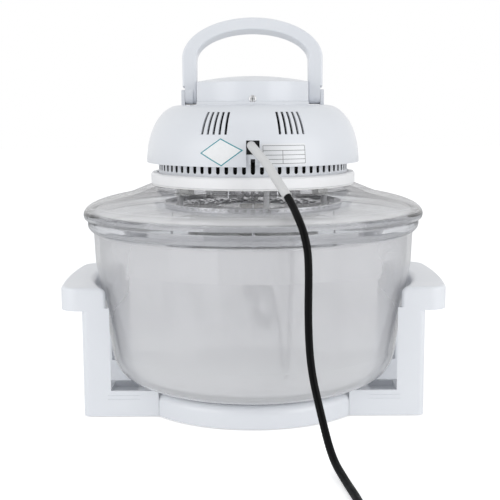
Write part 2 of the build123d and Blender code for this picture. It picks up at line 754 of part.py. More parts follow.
with BuildPart() as upper_housing:
    add(dome_body)
    add(dome_cavity, mode=Mode.SUBTRACT)
    with Locations((0, 0, dome_top_z)):
        Cylinder(dome_hole_radius, 4 * dome_wall, mode=Mode.SUBTRACT)
    with BuildSketch(Plane.XY.offset(dome_top_z)):
        Circle(cap_radius - cap_wall - seat_gap)
        Circle(cap_radius - cap_wall - seat_gap - upstand_thickness, mode=Mode.SUBTRACT)
        Rectangle(2 * upstand_half_width, 2 * cap_radius, mode=Mode.INTERSECT)
    extrude(amount=upstand_height)
    for side in (-1, 1):
        with BuildSketch(Plane.YZ.offset(side * ear_inner_x)):
            with Locations((0, (dome_top_z + ear_top_z) / 2)):
                Rectangle(2 * ear_half_width, ear_top_z - dome_top_z)
            fillet(vertices().group_by(Axis.Y)[-1], ear_corner_radius)
        extrude(amount=side * (ear_outer_x - ear_inner_x))
    with Locations((0, 0, pivot_z)):
        Cylinder(pin_radius + running_gap, 4 * cap_radius, rotation=(0, 90, 0), mode=Mode.SUBTRACT)
    with Locations((0, 0, cap_screw_z)):
        Cylinder(cap_screw_radius + screw_gap, 4 * cap_radius, rotation=(90, 0, 0), mode=Mode.SUBTRACT)
    slot_reach = dome_radius / 3
    slot_spread = slot_pitch_deg * (slot_count - 1)
    for start in (90 - slot_first_deg - slot_spread, 90 + slot_first_deg):
        with Locations((0, 0, (slot_low_z + slot_high_z) / 2)):
            with PolarLocations(dome_radius - slot_reach / 2, slot_count, start, slot_spread, endpoint=True):
                Box(slot_reach, slot_width, slot_high_z - slot_low_z, mode=Mode.SUBTRACT)
    with Locations((0, dome_radius, (dome_bottom_z + notch_top_z) / 2)):
        Box(notch_width, 6 * dome_wall, notch_top_z - dome_bottom_z, mode=Mode.SUBTRACT)
    with Locations((cam_x, 0, dome_top_z)):
        Box(cam_width + cam_play, cam_slot_length, 4 * dome_wall, mode=Mode.SUBTRACT)
    with BuildSketch(Plane.XZ.offset(-panel_face_y)):
        with Locations((0, panel_mid_z)):
            RectangleRounded(
                panel_width - 2 * panel_wall, panel_height - 2 * panel_wall, panel_corner_radius - panel_wall
            )
    extrude(amount=-panel_depth, mode=Mode.SUBTRACT)
write(upper_housing.part, "upper_housing")


def cap_form(radius, flat_x, low_z, side_top_z, rise, flare):
    """The round cap, flattened on both sides, with a gently domed top."""
    with BuildPart() as form:
        with BuildSketch(Plane.XZ):
            with BuildLine():
                Line((0, low_z), (radius + flare, low_z))
                if flare > 0:
                    RadiusArc((radius + flare, low_z), (radius, low_z + flare), -flare)
                Line((radius, low_z + flare), (radius, side_top_z))
                RadiusArc((radius, side_top_z), (0, side_top_z + rise), -(radius**2 + rise**2) / (2 * rise))
                Line((0, side_top_z + rise), (0, low_z))
            make_face()
        revolve(axis=Axis.Z)
        with Locations((0, 0, (low_z + side_top_z) / 2)):
            Box(2 * flat_x, 4 * radius, 4 * (side_top_z - low_z), mode=Mode.INTERSECT)
    return form.part


head_y = cap_radius - cap_recess_depth

with BuildPart() as top_cap:
    add(cap_form(cap_radius, cap_flat_x, dome_top_z, cap_top_z, cap_rise, cap_flare))
    add(
        cap_form(
            cap_radius - cap_wall, cap_flat_x - cap_wall, dome_top_z, cap_top_z - cap_wall, cap_rise, 0
        ),
        mode=Mode.SUBTRACT,
    )
    with Locations((0, 0, pivot_z)):
        Cylinder(pin_radius + running_gap, 4 * cap_radius, rotation=(0, 90, 0), mode=Mode.SUBTRACT)
    with Locations((0, 0, cap_screw_z)):
        Cylinder(cap_screw_radius + screw_gap, 4 * cap_radius, rotation=(90, 0, 0), mode=Mode.SUBTRACT)
    for side in (-1, 1):
        with Locations((0, side * (head_y + cap_screw_head_height), cap_screw_z)):
            Cylinder(
                cap_screw_head_radius + screw_gap, 2 * cap_screw_head_height, rotation=(90, 0, 0),
                mode=Mode.SUBTRACT,
            )
write(top_cap.part, "top_cap")

with BuildPart() as cap_screws:
    for side in (-1, 1):
        with Locations((0, side * (head_y + cap_screw_head_height / 2), cap_screw_z)):
            Cylinder(cap_screw_head_radius, cap_screw_head_height, rotation=(90, 0, 0))
        with Locations((0, side * (head_y - cap_screw_length / 2), cap_screw_z)):
            Cylinder(cap_screw_radius, cap_screw_length, rotation=(90, 0, 0))
write(cap_screws.part, "cap_screws")

with BuildPart() as pivot_pins:
    for side in (-1, 1):
        with Locations((side * (pin_inner_x + ear_outer_x) / 2, 0, pivot_z)):
            Cylinder(pin_radius, ear_outer_x - pin_inner_x, rotation=(0, 90, 0))
write(pivot_pins.part, "pivot_pins")

# ---------------------------------------------------------------- carrying handle, with the cam that works the switch
lean = radians(handle_lean_deg)
handle_front = Plane(origin=(0, 0, pivot_z), x_dir=(1, 0, 0), z_dir=(0, -cos(lean), -sin(lean)))
handle_side = Plane(origin=(0, 0, pivot_z), x_dir=(0, cos(lean), sin(lean)), z_dir=(1, 0, 0))
cam_turn = radians(90 - handle_fold_deg)  # the cam's lobe points down when the handle lies folded

with BuildPart() as carry_handle:
    with BuildSketch(handle_front.offset(-handle_top_depth)):
        with Locations((0, (handle_leg_top - handle_end_radius) / 2)):
            Rectangle(2 * handle_leg_outer_x, handle_leg_top + handle_end_radius)
        with Locations((0, (handle_leg_top + handle_spring) / 2)):
            Rectangle(2 * handle_outer_x, handle_spring - handle_leg_top)
        with Locations((0, handle_spring)):
            Ellipse(handle_outer_x, handle_outer_rise)
            Ellipse(handle_inner_x, handle_inner_rise, mode=Mode.SUBTRACT)
        with Locations((0, (handle_spring - handle_end_radius) / 2)):
            Rectangle(2 * handle_inner_x, handle_spring + handle_end_radius, mode=Mode.SUBTRACT)
    extrude(amount=2 * handle_top_depth)
    handle_reach = handle_spring + handle_outer_rise + 1.0
    with BuildSketch(handle_side.offset(-handle_outer_x)):
        Circle(handle_end_radius)
        with BuildLine():
            Polyline(
                (-handle_end_radius, 0),
                (handle_end_radius, 0),
                (handle_top_depth / 2, handle_reach),
                (-handle_top_depth / 2, handle_reach),
                close=True,
            )
        make_face()
    extrude(amount=2 * handle_outer_x, mode=Mode.INTERSECT)
    handle_rims = edges().filter_by(GeomType.BSPLINE)
    fillet(handle_rims, handle_edge_radius)
    cam_plane = handle_side.offset(cam_x - cam_width / 2)
    with BuildSketch(cam_plane):
        with Locations((cam_lift * cos(cam_turn), -cam_lift * sin(cam_turn))):
            Circle(handle_end_radius)
    extrude(amount=cam_width)
    with Locations((0, 0, pivot_z)):
        Cylinder(pin_radius + running_gap, 4 * cap_radius, rotation=(0, 90, 0), mode=Mode.SUBTRACT)
write(carry_handle.part, "carry_handle")

# ---------------------------------------------------------------- safety switch under the handle
with BuildPart() as safety_switch:
    switch_length, switch_width, switch_height = switch_size
    with Locations((cam_x, 0, dome_inner_top_z - switch_height / 2)):
        Box(switch_length, switch_width, switch_height)
    plunger_low_z = leg_bottom_z - plunger_gap - plunger_length
    guide_depth = dome_inner_top_z - plunger_low_z + plunger_travel + seat_gap
    with Locations((cam_x, 0, dome_inner_top_z - guide_depth / 2)):
        Cylinder(plunger_radius + running_gap, guide_depth, mode=Mode.SUBTRACT)
write(safety_switch.part, "safety_switch")

with BuildPart() as switch_plunger:
    with Locations((cam_x, 0, plunger_low_z + plunger_length / 2)):
        Cylinder(plunger_radius, plunger_length)
write(switch_plunger.part, "switch_plunger")

# ---------------------------------------------------------------- controls on the front
with BuildPart() as control_panel:
    with BuildSketch(Plane.XZ.offset(-panel_face_y)):
        with Locations((0, panel_mid_z)):
            RectangleRounded(panel_width, panel_height, panel_corner_radius)
    extrude(amount=-panel_depth)
    fillet(faces().sort_by(Axis.Y)[0].edges(), panel_edge_radius)
    with BuildSketch(Plane.XZ.offset(-panel_back_y)):
        with Locations((0, panel_mid_z)):
            RectangleRounded(
                panel_width - 2 * panel_wall, panel_height - 2 * panel_wall, panel_corner_radius - panel_wall
            )
    extrude(amount=-panel_depth, mode=Mode.SUBTRACT)
    add(dome_body, mode=Mode.SUBTRACT)
    for side in (-1, 1):
        with Locations((side * knob_x, panel_face_y, panel_mid_z)):
            Cylinder(spindle_radius + seat_gap, 4 * panel_wall, rotation=(90, 0, 0), mode=Mode.SUBTRACT)
        with Locations((0, panel_face_y, panel_mid_z + side * lamp_rise)):
            Cylinder(lamp_radius, 4 * panel_wall, rotation=(90, 0, 0), mode=Mode.SUBTRACT)
write(control_panel.part, "control_panel")

with BuildPart() as indicator_lamps:
    for side in (-1, 1):
        with BuildSketch(Plane.XZ.offset(-panel_back_y)):
            with Locations((0, panel_mid_z + side * lamp_rise)):
                Circle(lamp_radius - screw_gap)
        extrude(amount=panel_wall + lamp_proud)
write(indicator_lamps.part, "indicator_lamps")


def control_unit(x):
    """The timer or thermostat behind the panel, with the bore that its spindle turns in."""
    with BuildPart() as unit:
        with Locations((x, panel_back_y + unit_depth / 2, panel_mid_z)):
            Box(unit_size, unit_depth, unit_size)
        with Locations((x, panel_back_y + spindle_reach / 2, panel_mid_z)):
            Cylinder(
                spindle_radius + running_gap, spindle_reach, rotation=(90, 0, 0), mode=Mode.SUBTRACT
            )
    return unit.part


def control_spindle(x):
    """The spindle from inside the unit to inside the knob."""
    low_y = knob_face_y - knob_length + panel_wall
    high_y = panel_back_y + spindle_reach - seat_gap
    with BuildPart() as spindle:
        with Locations((x, (low_y + high_y) / 2, panel_mid_z)):
            Cylinder(spindle_radius, high_y - low_y, rotation=(90, 0, 0))
    return spindle.part


def control_knob(x):
    """A round knob with a bar to grip, its pointer end upwards at rest."""
    drum_length = knob_length - knob_bar_rise
    with BuildPart() as knob:
        with BuildSketch(Plane.XZ.offset(-knob_face_y)):
            with Locations((x, panel_mid_z)):
                Circle(knob_skirt_radius)
        extrude(amount=knob_skirt_length)
        with BuildSketch(Plane.XZ.offset(-knob_face_y)):
            with Locations((x, panel_mid_z)):
                Circle(knob_radius)
        extrude(amount=drum_length)
        with BuildSketch(Plane.XZ.offset(-knob_face_y)):
            with Locations((x, panel_mid_z)):
                Circle(knob_radius)
                Rectangle(knob_bar_width, 2 * knob_radius, mode=Mode.INTERSECT)
        extrude(amount=knob_length)
        fillet(faces().sort_by(Axis.Y)[0].edges(), knob_edge_radius)
        with Locations((x, knob_face_y, panel_mid_z)):
            Cylinder(
                spindle_radius + running_gap, 2 * (knob_length - panel_wall), rotation=(90, 0, 0),
                mode=Mode.SUBTRACT,
            )
    return knob.part


write(control_unit(-knob_x), "timer_unit")
write(control_unit(knob_x), "thermostat_unit")
write(control_spindle(-knob_x), "timer_spindle")
write(control_spindle(knob_x), "thermostat_spindle")
write(control_knob(-knob_x), "timer_knob")
write(control_knob(knob_x), "thermostat_knob")

# ---------------------------------------------------------------- motor
stator_width, stator_length, stator_height = stator_size
stator_low_z = stator_z - stator_height / 2
stator_high_z = stator_z + stator_height / 2
bolt_places = GridLocations(stator_width - 2 * bolt_inset, stator_length - 2 * bolt_inset, 2, 2)
bracket_top_z = bracket_high_z + bracket_thickness

with BuildPart() as motor_bracket:
    for plate_z in (bracket_low_z, bracket_high_z):
        with Locations((0, 0, plate_z + bracket_thickness / 2)):
            Cylinder(bracket_radius, bracket_thickness)
    column_height = bracket_high_z - shield_top_z
    with Locations((0, 0, shield_top_z + column_height / 2)):
        with PolarLocations(bracket_column_radius, 4, start_angle=45):
            Box(bracket_column_width / 2, bracket_column_width, column_height)
    for low_z, high_z in ((bracket_low_z, stator_low_z), (stator_high_z, bracket_high_z)):
        with BuildSketch(Plane.XY.offset(low_z)):
            with Locations((0, stator_y)):
                with bolt_places:
                    Circle(bolt_boss_radius)
        extrude(amount=high_z - low_z)
    with BuildSketch(Plane.XY.offset(bracket_low_z)):
        with Locations((0, stator_y)):
            with bolt_places:
                Circle(bolt_radius + screw_gap)
    extrude(amount=bracket_top_z - bracket_low_z, mode=Mode.SUBTRACT)
    with Locations((0, 0, (bracket_low_z + bracket_high_z) / 2)):
        Cylinder(bush_radius, 2 * bracket_high_z, mode=Mode.SUBTRACT)
write(motor_bracket.part, "motor_bracket")

lower_bush_z = bracket_low_z + (bracket_thickness - bush_height) / 2
upper_bush_z = bracket_high_z + (bracket_thickness - bush_height) / 2
lower_bush = washer(bush_radius, shaft_radius + running_gap, lower_bush_z, lower_bush_z + bush_height)
upper_bush = washer(bush_radius, shaft_radius + running_gap, upper_bush_z, upper_bush_z + bush_height)
write(lower_bush, "lower_bush")
write(upper_bush, "upper_bush")

window_y = stator_y - stator_length / 2 + stator_limb + coil_build / 2 + screw_gap
with BuildPart() as motor_stator:
    with BuildSketch(Plane.XY.offset(stator_low_z)):
        with Locations((0, stator_y)):
            Rectangle(stator_width, stator_length)
            with bolt_places:
                Circle(bolt_radius + screw_gap, mode=Mode.SUBTRACT)
        Circle(stator_bore_radius, mode=Mode.SUBTRACT)
        with Locations((0, window_y)):
            Rectangle(coil_length + 2 * seat_gap, coil_build + 2 * screw_gap, mode=Mode.SUBTRACT)
    extrude(amount=stator_height)
write(motor_stator.part, "motor_stator")

with BuildPart() as motor_bolts:
    for low_z, high_z, radius in (
        (bracket_low_z - bolt_head_height, bracket_low_z, bolt_head_radius),
        (bracket_low_z, bracket_top_z, bolt_radius),
        (bracket_top_z, bracket_top_z + bolt_head_height, bolt_head_radius),
    ):
        with BuildSketch(Plane.XY.offset(low_z)):
            with Locations((0, stator_y)):
                with bolt_places:
                    Circle(radius)
        extrude(amount=high_z - low_z)
write(motor_bolts.part, "motor_bolts")

with BuildPart() as motor_coil:
    limb_y = stator_y - stator_length / 2 + stator_limb / 2
    with Locations((0, limb_y, stator_z)):
        Box(coil_length, stator_limb + 2 * coil_build, stator_height + 2 * coil_build)
        Box(2 * coil_length, stator_limb + 2 * screw_gap, stator_height + 2 * screw_gap, mode=Mode.SUBTRACT)
write(motor_coil.part, "motor_coil")

with BuildPart() as rotor_shaft:
    with Locations((0, 0, (shaft_bottom_z + shaft_top_z) / 2)):
        Cylinder(shaft_radius, shaft_top_z - shaft_bottom_z)
write(rotor_shaft.part, "rotor_shaft")

rotor_radius = stator_bore_radius - rotor_gap
rotor_core = washer(rotor_radius, shaft_radius, stator_low_z, stator_high_z)
write(rotor_core, "rotor_core")

with BuildPart() as convection_fan:
    with Locations((0, 0, fan_disc_z + fan_disc_thickness / 2)):
        Cylinder(fan_disc_radius, fan_disc_thickness)
    hub_low_z = shaft_bottom_z + fan_nut_height + shaft_thread_proud
    with Locations((0, 0, (hub_low_z + fan_disc_z) / 2)):
        Cylinder(fan_hub_radius, fan_disc_z - hub_low_z)
    blade_length = fan_disc_radius - fan_blade_inner_radius
    with Locations((0, 0, fan_disc_z - fan_blade_height / 2)):
        with PolarLocations(fan_blade_inner_radius + blade_length / 2, fan_blade_count):
            Box(blade_length, fan_blade_thickness, fan_blade_height)
    with Locations((0, 0, fan_disc_z)):
        Cylinder(shaft_radius, 4 * fan_blade_height, mode=Mode.SUBTRACT)
write(convection_fan.part, "convection_fan")

with BuildPart() as fan_nut:
    with BuildSketch(Plane.XY.offset(hub_low_z - fan_nut_height)):
        RegularPolygon(fan_nut_size, 6)
        Circle(shaft_radius, mode=Mode.SUBTRACT)
    extrude(amount=fan_nut_height)
write(fan_nut.part, "fan_nut")

with BuildPart() as cooling_fan:
    blade_length = cooler_radius - cooler_hub_radius + cooler_blade_sink
    blade_chord = cooler_height / sin(radians(cooler_pitch_deg))
    with Locations((0, 0, cooler_z + cooler_height / 2)):
        with PolarLocations(cooler_radius - blade_length / 2, cooler_blade_count):
            Box(blade_length, blade_chord, fan_blade_thickness, rotation=(cooler_pitch_deg, 0, 0))
        Cylinder(cooler_hub_radius, cooler_height)
        Cylinder(shaft_radius, 4 * cooler_height, mode=Mode.SUBTRACT)
write(cooling_fan.part, "cooling_fan")

# ---------------------------------------------------------------- reflector, halogen lamp and guard
with BuildPart() as reflector_posts:
    with Locations((0, 0, (pan_floor_z + shield_bottom_z) / 2)):
        with PolarLocations(post_circle_radius, post_count, start_angle=post_first_deg):
            Cylinder(post_radius, shield_bottom_z - pan_floor_z)
write(reflector_posts.part, "reflector_posts")

with BuildPart() as reflector_pan:
    with BuildSketch(Plane.XZ):
        with BuildLine():
            Line((pan_hole_radius, pan_bottom_z), (pan_radius - pan_corner_radius, pan_bottom_z))
            RadiusArc(
                (pan_radius - pan_corner_radius, pan_bottom_z),
                (pan_radius, pan_bottom_z + pan_corner_radius),
                -pan_corner_radius,
            )
            Line((pan_radius, pan_bottom_z + pan_corner_radius), (pan_radius, pan_rim_z))
            Line((pan_radius, pan_rim_z), (pan_radius - pan_wall, pan_rim_z))
            Line((pan_radius - pan_wall, pan_rim_z), (pan_radius - pan_wall, pan_floor_z))
            Line((pan_radius - pan_wall, pan_floor_z), (pan_hole_radius, pan_floor_z))
            Line((pan_hole_radius, pan_floor_z), (pan_hole_radius, pan_bottom_z))
        make_face()
    revolve(axis=Axis.Z)
write(reflector_pan.part, "reflector_pan")

with BuildPart() as halogen_tube:
    with BuildSketch(Plane.XZ):
        with Locations((tube_ring_radius, tube_z)):
            Circle(tube_radius)
    revolve(axis=Axis.Z, revolution_arc=360 - tube_gap_deg)
tube_start_deg = tube_gap_deg / 2 - 90
write(halogen_tube.part.rotate(Axis.Z, tube_start_deg), "halogen_tube")

with BuildPart() as lamp_holders:
    holder_depth, holder_width, holder_height = holder_size
    with Locations((0, 0, pan_bottom_z - holder_height / 2)):
        for side in (-1, 1):
            with PolarLocations(tube_ring_radius, 1, start_angle=side * tube_gap_deg / 2 - 90):
                with Locations((0, -side * (holder_width / 2 + seat_gap), 0)):
                    Box(holder_depth, holder_width, holder_height)
write(lamp_holders.part, "lamp_holders")

with BuildPart() as guard_grille:
    with BuildSketch(Plane.XZ):
        for radius in guard_ring_radii:
            with Locations((radius, guard_z)):
                Circle(guard_wire_radius)
    revolve(axis=Axis.Z)
    spoke_start = guard_ring_radii[0] - guard_spoke_end
    spoke_length = guard_ring_radii[-1] - spoke_start
    with Locations((0, 0, guard_z + guard_wire_radius - guard_weld)):
        with PolarLocations(spoke_start + spoke_length / 2, guard_leg_count):
            Cylinder(guard_wire_radius, spoke_length, rotation=(0, 90, 0))
    with Locations((0, 0, (guard_z + pan_bottom_z) / 2)):
        with PolarLocations(guard_ring_radii[-1], guard_leg_count):
            Cylinder(guard_leg_radius, pan_bottom_z - guard_z)
write(guard_grille.part, "guard_grille")

# ---------------------------------------------------------------- mains side
with BuildPart() as terminal_block:
    block_length, block_width, block_height = block_size
    with Locations((0, block_y, shield_top_z + block_height / 2)):
        Box(block_length, block_width, block_height)
write(terminal_block.part, "terminal_block")

with BuildPart() as thermal_cutout:
    with Locations((0, -block_y, shield_top_z + cutout_height / 2)):
        Cylinder(cutout_radius, cutout_height)
write(thermal_cutout.part, "thermal_cutout")

with BuildPart() as cord_clamp:
    clamp_width, clamp_depth, clamp_height = clamp_size
    clamp_y = tongue_y - tongue_thickness / 2 - seat_gap - clamp_depth / 2
    with Locations((sleeve_points[0][0], clamp_y, neck_top_z + clamp_height / 2)):
        Box(clamp_width, clamp_depth, clamp_height)
    with Locations((sleeve_points[0][0], clamp_y, sleeve_points[0][2])):
        Cylinder(sleeve_radius + running_gap, 6 * clamp_depth, rotation=(90, 0, 0), mode=Mode.SUBTRACT)
write(cord_clamp.part, "cord_clamp")


def swept_tube(points, radii, tube_section):
    """A round tube along straight runs joined by tangent arcs, and the length of its path."""
    with BuildPart() as tube:
        with BuildLine() as route:
            FilletPolyline(*points, radius=radii)
        path = route.wire()
        with BuildSketch(Plane(origin=path @ 0, z_dir=path % 0)):
            Circle(tube_section)
        sweep(path=path)
    return tube.part, path.length


def bend_radii(points):
    """For each inner point, 0.45 of its shorter run divided by the tangent of half its turn."""
    radii = []
    for before, here, after in zip(points, points[1:], points[2:]):
        run_in = Vector(*here) - Vector(*before)
        run_out = Vector(*after) - Vector(*here)
        half_turn = radians(run_in.get_angle(run_out) / 2)
        radii.append(0.45 * min(run_in.length, run_out.length) / tan(half_turn))
    return radii


cord_sleeve, sleeve_length = swept_tube(sleeve_points, bend_radii(sleeve_points), sleeve_radius)
write(cord_sleeve, "cord_sleeve")

cord_bends = bend_radii(cord_points)
power_cord, cord_run_length = swept_tube(cord_points, cord_bends, cord_radius)
write(power_cord, "power_cord")

coil_x, coil_y = coil_center
coil_width = 2 * cord_radius * coil_turns_wide
coil_height = 2 * cord_radius * coil_layers
with BuildPart() as cord_coil:
    with BuildSketch(Plane(origin=(coil_x, coil_y, cord_lift), x_dir=(1, 0, 0), z_dir=(0, -1, 0))):
        with Locations((coil_mid_radius, coil_height / 2)):
            RectangleRounded(coil_width, coil_height, cord_radius)
    revolve(axis=Axis((coil_x, coil_y, 0), (0, 0, 1)))
write(cord_coil.part, "cord_coil")

plug_y = coil_y + coil_mid_radius + cord_radius  # in line with the outer turn
plug_z = plug_thickness / 2 + cord_lift
coil_outer_radius = coil_mid_radius + coil_width / 2
relief_x = coil_x + sqrt(coil_outer_radius**2 - (plug_y - coil_y) ** 2)
plug_x = relief_x + plug_relief_length
with BuildPart() as plug_body:
    with BuildSketch(Plane.YZ.offset(relief_x)):
        with Locations((plug_y, plug_z)):
            Circle(plug_relief_radius)
    with BuildSketch(Plane.YZ.offset(plug_x + 1.0)):
        with Locations((plug_y, plug_z)):
            Circle(plug_corner_radius)
    loft()
    with BuildSketch(Plane.YZ.offset(plug_x)):
        with Locations((plug_y, plug_z)):
            RectangleRounded(plug_width, plug_thickness, plug_corner_radius)
    extrude(amount=plug_length)
    fillet(faces().sort_by(Axis.X)[-1].edges(), plug_edge_radius)
write(plug_body.part, "plug_body")

with BuildPart() as plug_pins:
    blade_width, blade_thickness = plug_pin_size
    pin_x = plug_x + plug_length + plug_pin_length / 2
    with Locations((pin_x, plug_y, plug_z)):
        with Locations(Location((0, plug_pin_offset, 2.0), (30, 0, 0)), Location((0, -plug_pin_offset, 2.0), (-30, 0, 0))):
            Box(plug_pin_length, blade_thickness, blade_width)
        with Locations((0, 0, -plug_pin_offset + 1.0)):
            Box(plug_pin_length, blade_thickness, blade_width)
write(plug_pins.part, "plug_pins")

coil_length_wound = coil_turns * 2 * pi * coil_mid_radius
print(f"cord bends mm: {[round(r, 1) for r in cord_bends]}")
print(f"cord run {cord_run_length:.1f}, coil {coil_length_wound:.1f}, sleeve {sleeve_length:.1f} mm")
print(f"cord volume {power_cord.volume:.1f}, section times length {pi * cord_radius**2 * cord_run_length:.1f}")
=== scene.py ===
"""Looks of a halogen oven: a glass bowl on a white stand, under a glass lid with its heating head.

Metres, +Z up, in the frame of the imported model. The cord leaves on the +Y side, the controls face -Y.
"""
import json
import math

import bmesh
import bpy
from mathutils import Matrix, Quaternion, Vector


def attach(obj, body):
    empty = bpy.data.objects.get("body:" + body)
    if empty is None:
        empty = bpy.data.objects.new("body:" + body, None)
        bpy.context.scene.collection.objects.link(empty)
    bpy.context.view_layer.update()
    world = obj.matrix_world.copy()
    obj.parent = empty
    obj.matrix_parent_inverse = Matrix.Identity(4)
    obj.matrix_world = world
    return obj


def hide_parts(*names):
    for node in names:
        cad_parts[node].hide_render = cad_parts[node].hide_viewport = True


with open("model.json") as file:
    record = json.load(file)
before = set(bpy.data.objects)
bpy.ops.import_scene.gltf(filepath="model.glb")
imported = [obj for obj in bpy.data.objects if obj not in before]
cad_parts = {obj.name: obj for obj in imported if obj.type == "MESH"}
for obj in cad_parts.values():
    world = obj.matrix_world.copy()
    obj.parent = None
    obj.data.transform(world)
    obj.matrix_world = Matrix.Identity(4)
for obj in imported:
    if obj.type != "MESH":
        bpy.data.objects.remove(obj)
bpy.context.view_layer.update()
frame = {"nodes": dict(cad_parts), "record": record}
nodes = frame["nodes"]

MM = 0.001

# ---------------------------------------------------------------- camera, lights and floor
camera_distance = 1.037
camera_height = 0.311
camera_pitch = math.radians(8.42)
camera_roll = math.radians(-0.25)
camera_lens = 70.9
camera_shift = -0.0066
surround_strength = 0.70
floor_half_width = 6.0
floor_glow = 0.47                # added where the floor is seen, so that it is as white as the surround


def make_camera():
    """A camera behind the oven, a little above it, that looks along -Y."""
    data = bpy.data.cameras.new("camera")
    data.lens = camera_lens
    data.sensor_width = 36.0
    data.shift_x = camera_shift
    camera = bpy.data.objects.new("camera", data)
    camera.location = (0.0, camera_distance, camera_height)
    aim = Vector((0.0, -math.cos(camera_pitch), -math.sin(camera_pitch)))
    camera.rotation_mode = "QUATERNION"
    roll = Quaternion((0.0, 0.0, 1.0), camera_roll)
    camera.rotation_quaternion = aim.to_track_quat("-Z", "Y") @ roll
    bpy.context.scene.collection.objects.link(camera)
    bpy.context.scene.camera = camera


def area_light(name, place, target, size, power):
    """A rectangular soft light at a place, turned to a target."""
    data = bpy.data.lights.new(name, "AREA")
    data.shape = "RECTANGLE"
    data.size, data.size_y = size
    data.energy = power
    light = bpy.data.objects.new(name, data)
    light.location = place
    aim = Vector(target) - Vector(place)
    light.rotation_euler = aim.to_track_quat("-Z", "Y").to_euler()
    bpy.context.scene.collection.objects.link(light)


def any_ray(tree, *kinds):
    """1 for a ray of any of these Light Path kinds, else 0."""
    path = tree.nodes.new("ShaderNodeLightPath")
    found = path.outputs[kinds[0]]
    for kind in kinds[1:]:
        either = tree.nodes.new("ShaderNodeMath")
        either.operation = "MAXIMUM"
        tree.links.new(found, either.inputs[0])
        tree.links.new(path.outputs[kind], either.inputs[1])
        found = either.outputs[0]
    return found


def make_lights():
    """Two wide soft boxes beside the camera, and a surround that lights evenly and is seen as plain white."""
    oven_middle = (0.0, 0.0, 0.05)
    box_size = (1.6, 1.3)
    area_light("softbox_left", (1.45, 1.25, 0.45), oven_middle, box_size, 9.6)
    area_light("softbox_right", (-1.5, 1.15, 0.45), oven_middle, box_size, 10.5)
    world = bpy.data.worlds.new("surround")
    bpy.context.scene.world = world
    world.use_nodes = True
    tree = world.node_tree
    tree.nodes.clear()
    lighting = tree.nodes.new("ShaderNodeBackground")
    lighting.inputs["Color"].default_value = (0.97, 0.985, 1.0, 1.0)
    lighting.inputs["Strength"].default_value = surround_strength
    white = tree.nodes.new("ShaderNodeBackground")
    white.inputs["Color"].default_value = (1.0, 1.0, 1.0, 1.0)
    white.inputs["Strength"].default_value = 1.0
    mix = tree.nodes.new("ShaderNodeMixShader")
    out = tree.nodes.new("ShaderNodeOutputWorld")
    tree.links.new(any_ray(tree, "Is Camera Ray", "Is Transmission Ray", "Is Glossy Ray"), mix.inputs["Fac"])
    tree.links.new(lighting.outputs[0], mix.inputs[1])
    tree.links.new(white.outputs[0], mix.inputs[2])
    tree.links.new(mix.outputs[0], out.inputs["Surface"])


def make_dark_cloth():
    """A dark cloth hung in a bow behind the camera, which only the gloss and the glass show."""
    reach, low, high = 1.75, 0.02, 3.0
    half_turn, steps = math.radians(31.0), 24
    corners = []
    for step in range(steps + 1):
        turn = -half_turn + 2 * half_turn * step / steps
        for height in (low, high):
            corners.append((reach * math.sin(turn), reach * math.cos(turn), height))
    faces = [(2 * k, 2 * k + 1, 2 * k + 3, 2 * k + 2) for k in range(steps)]
    mesh = bpy.data.meshes.new("dark_cloth")
    mesh.from_pydata(corners, [], faces)
    cloth = bpy.data.objects.new("dark_cloth", mesh)
    bpy.context.scene.collection.objects.link(cloth)
    material = bpy.data.materials.new("dark_cloth")
    material.use_nodes = True
    weave = material.node_tree.nodes["Principled BSDF"]
    weave.inputs["Base Color"].default_value = (0.02, 0.02, 0.021, 1.0)
    weave.inputs["Roughness"].default_value = 0.9
    mesh.materials.append(material)
    for kind in ("camera", "diffuse", "shadow", "volume_scatter"):
        setattr(cloth, f"visible_{kind}", False)


def make_floor():
    """A pale floor that keeps the oven's soft shadow."""
    half = floor_half_width
    mesh = bpy.data.meshes.new("floor")
    mesh.from_pydata([(-half, -half, 0), (half, -half, 0), (half, half, 0), (-half, half, 0)], [], [(0, 1, 2, 3)])
    floor = bpy.data.objects.new("floor", mesh)
    bpy.context.scene.collection.objects.link(floor)
    material = bpy.data.materials.new("floor_paper")
    material.use_nodes = True
    tree = material.node_tree
    tree.nodes.clear()
    paper = tree.nodes.new("ShaderNodeBsdfDiffuse")
    paper.inputs["Color"].default_value = (0.95, 0.95, 0.95, 1.0)
    glow = tree.nodes.new("ShaderNodeEmission")
    share = tree.nodes.new("ShaderNodeMath")
    share.operation = "MULTIPLY"
    share.inputs[1].default_value = floor_glow
    tree.links.new(any_ray(tree, "Is Camera Ray", "Is Transmission Ray"), share.inputs[0])
    tree.links.new(share.outputs[0], glow.inputs["Strength"])
    both = tree.nodes.new("ShaderNodeAddShader")
    out = tree.nodes.new("ShaderNodeOutputMaterial")
    tree.links.new(paper.outputs[0], both.inputs[0])
    tree.links.new(glow.outputs[0], both.inputs[1])
    tree.links.new(both.outputs[0], out.inputs["Surface"])
    mesh.materials.append(material)


# ---------------------------------------------------------------- finishes
cool_white = ((0.755, 0.775, 0.815), (0.785, 0.805, 0.84))      # two shades of the head's shells
# The stand's white is a lighter copy of the head's white plastic: painted light for the low stand, which gets less
# light.
stand_painted_light_white = ((0.825, 0.845, 0.885), (0.855, 0.875, 0.910))
flange_white = ((0.94, 0.94, 0.95), (0.96, 0.96, 0.97))
vent_painted_shade_radius = 0.098         # metres; the neck is white outside it and painted black inside, painted shade for the slots
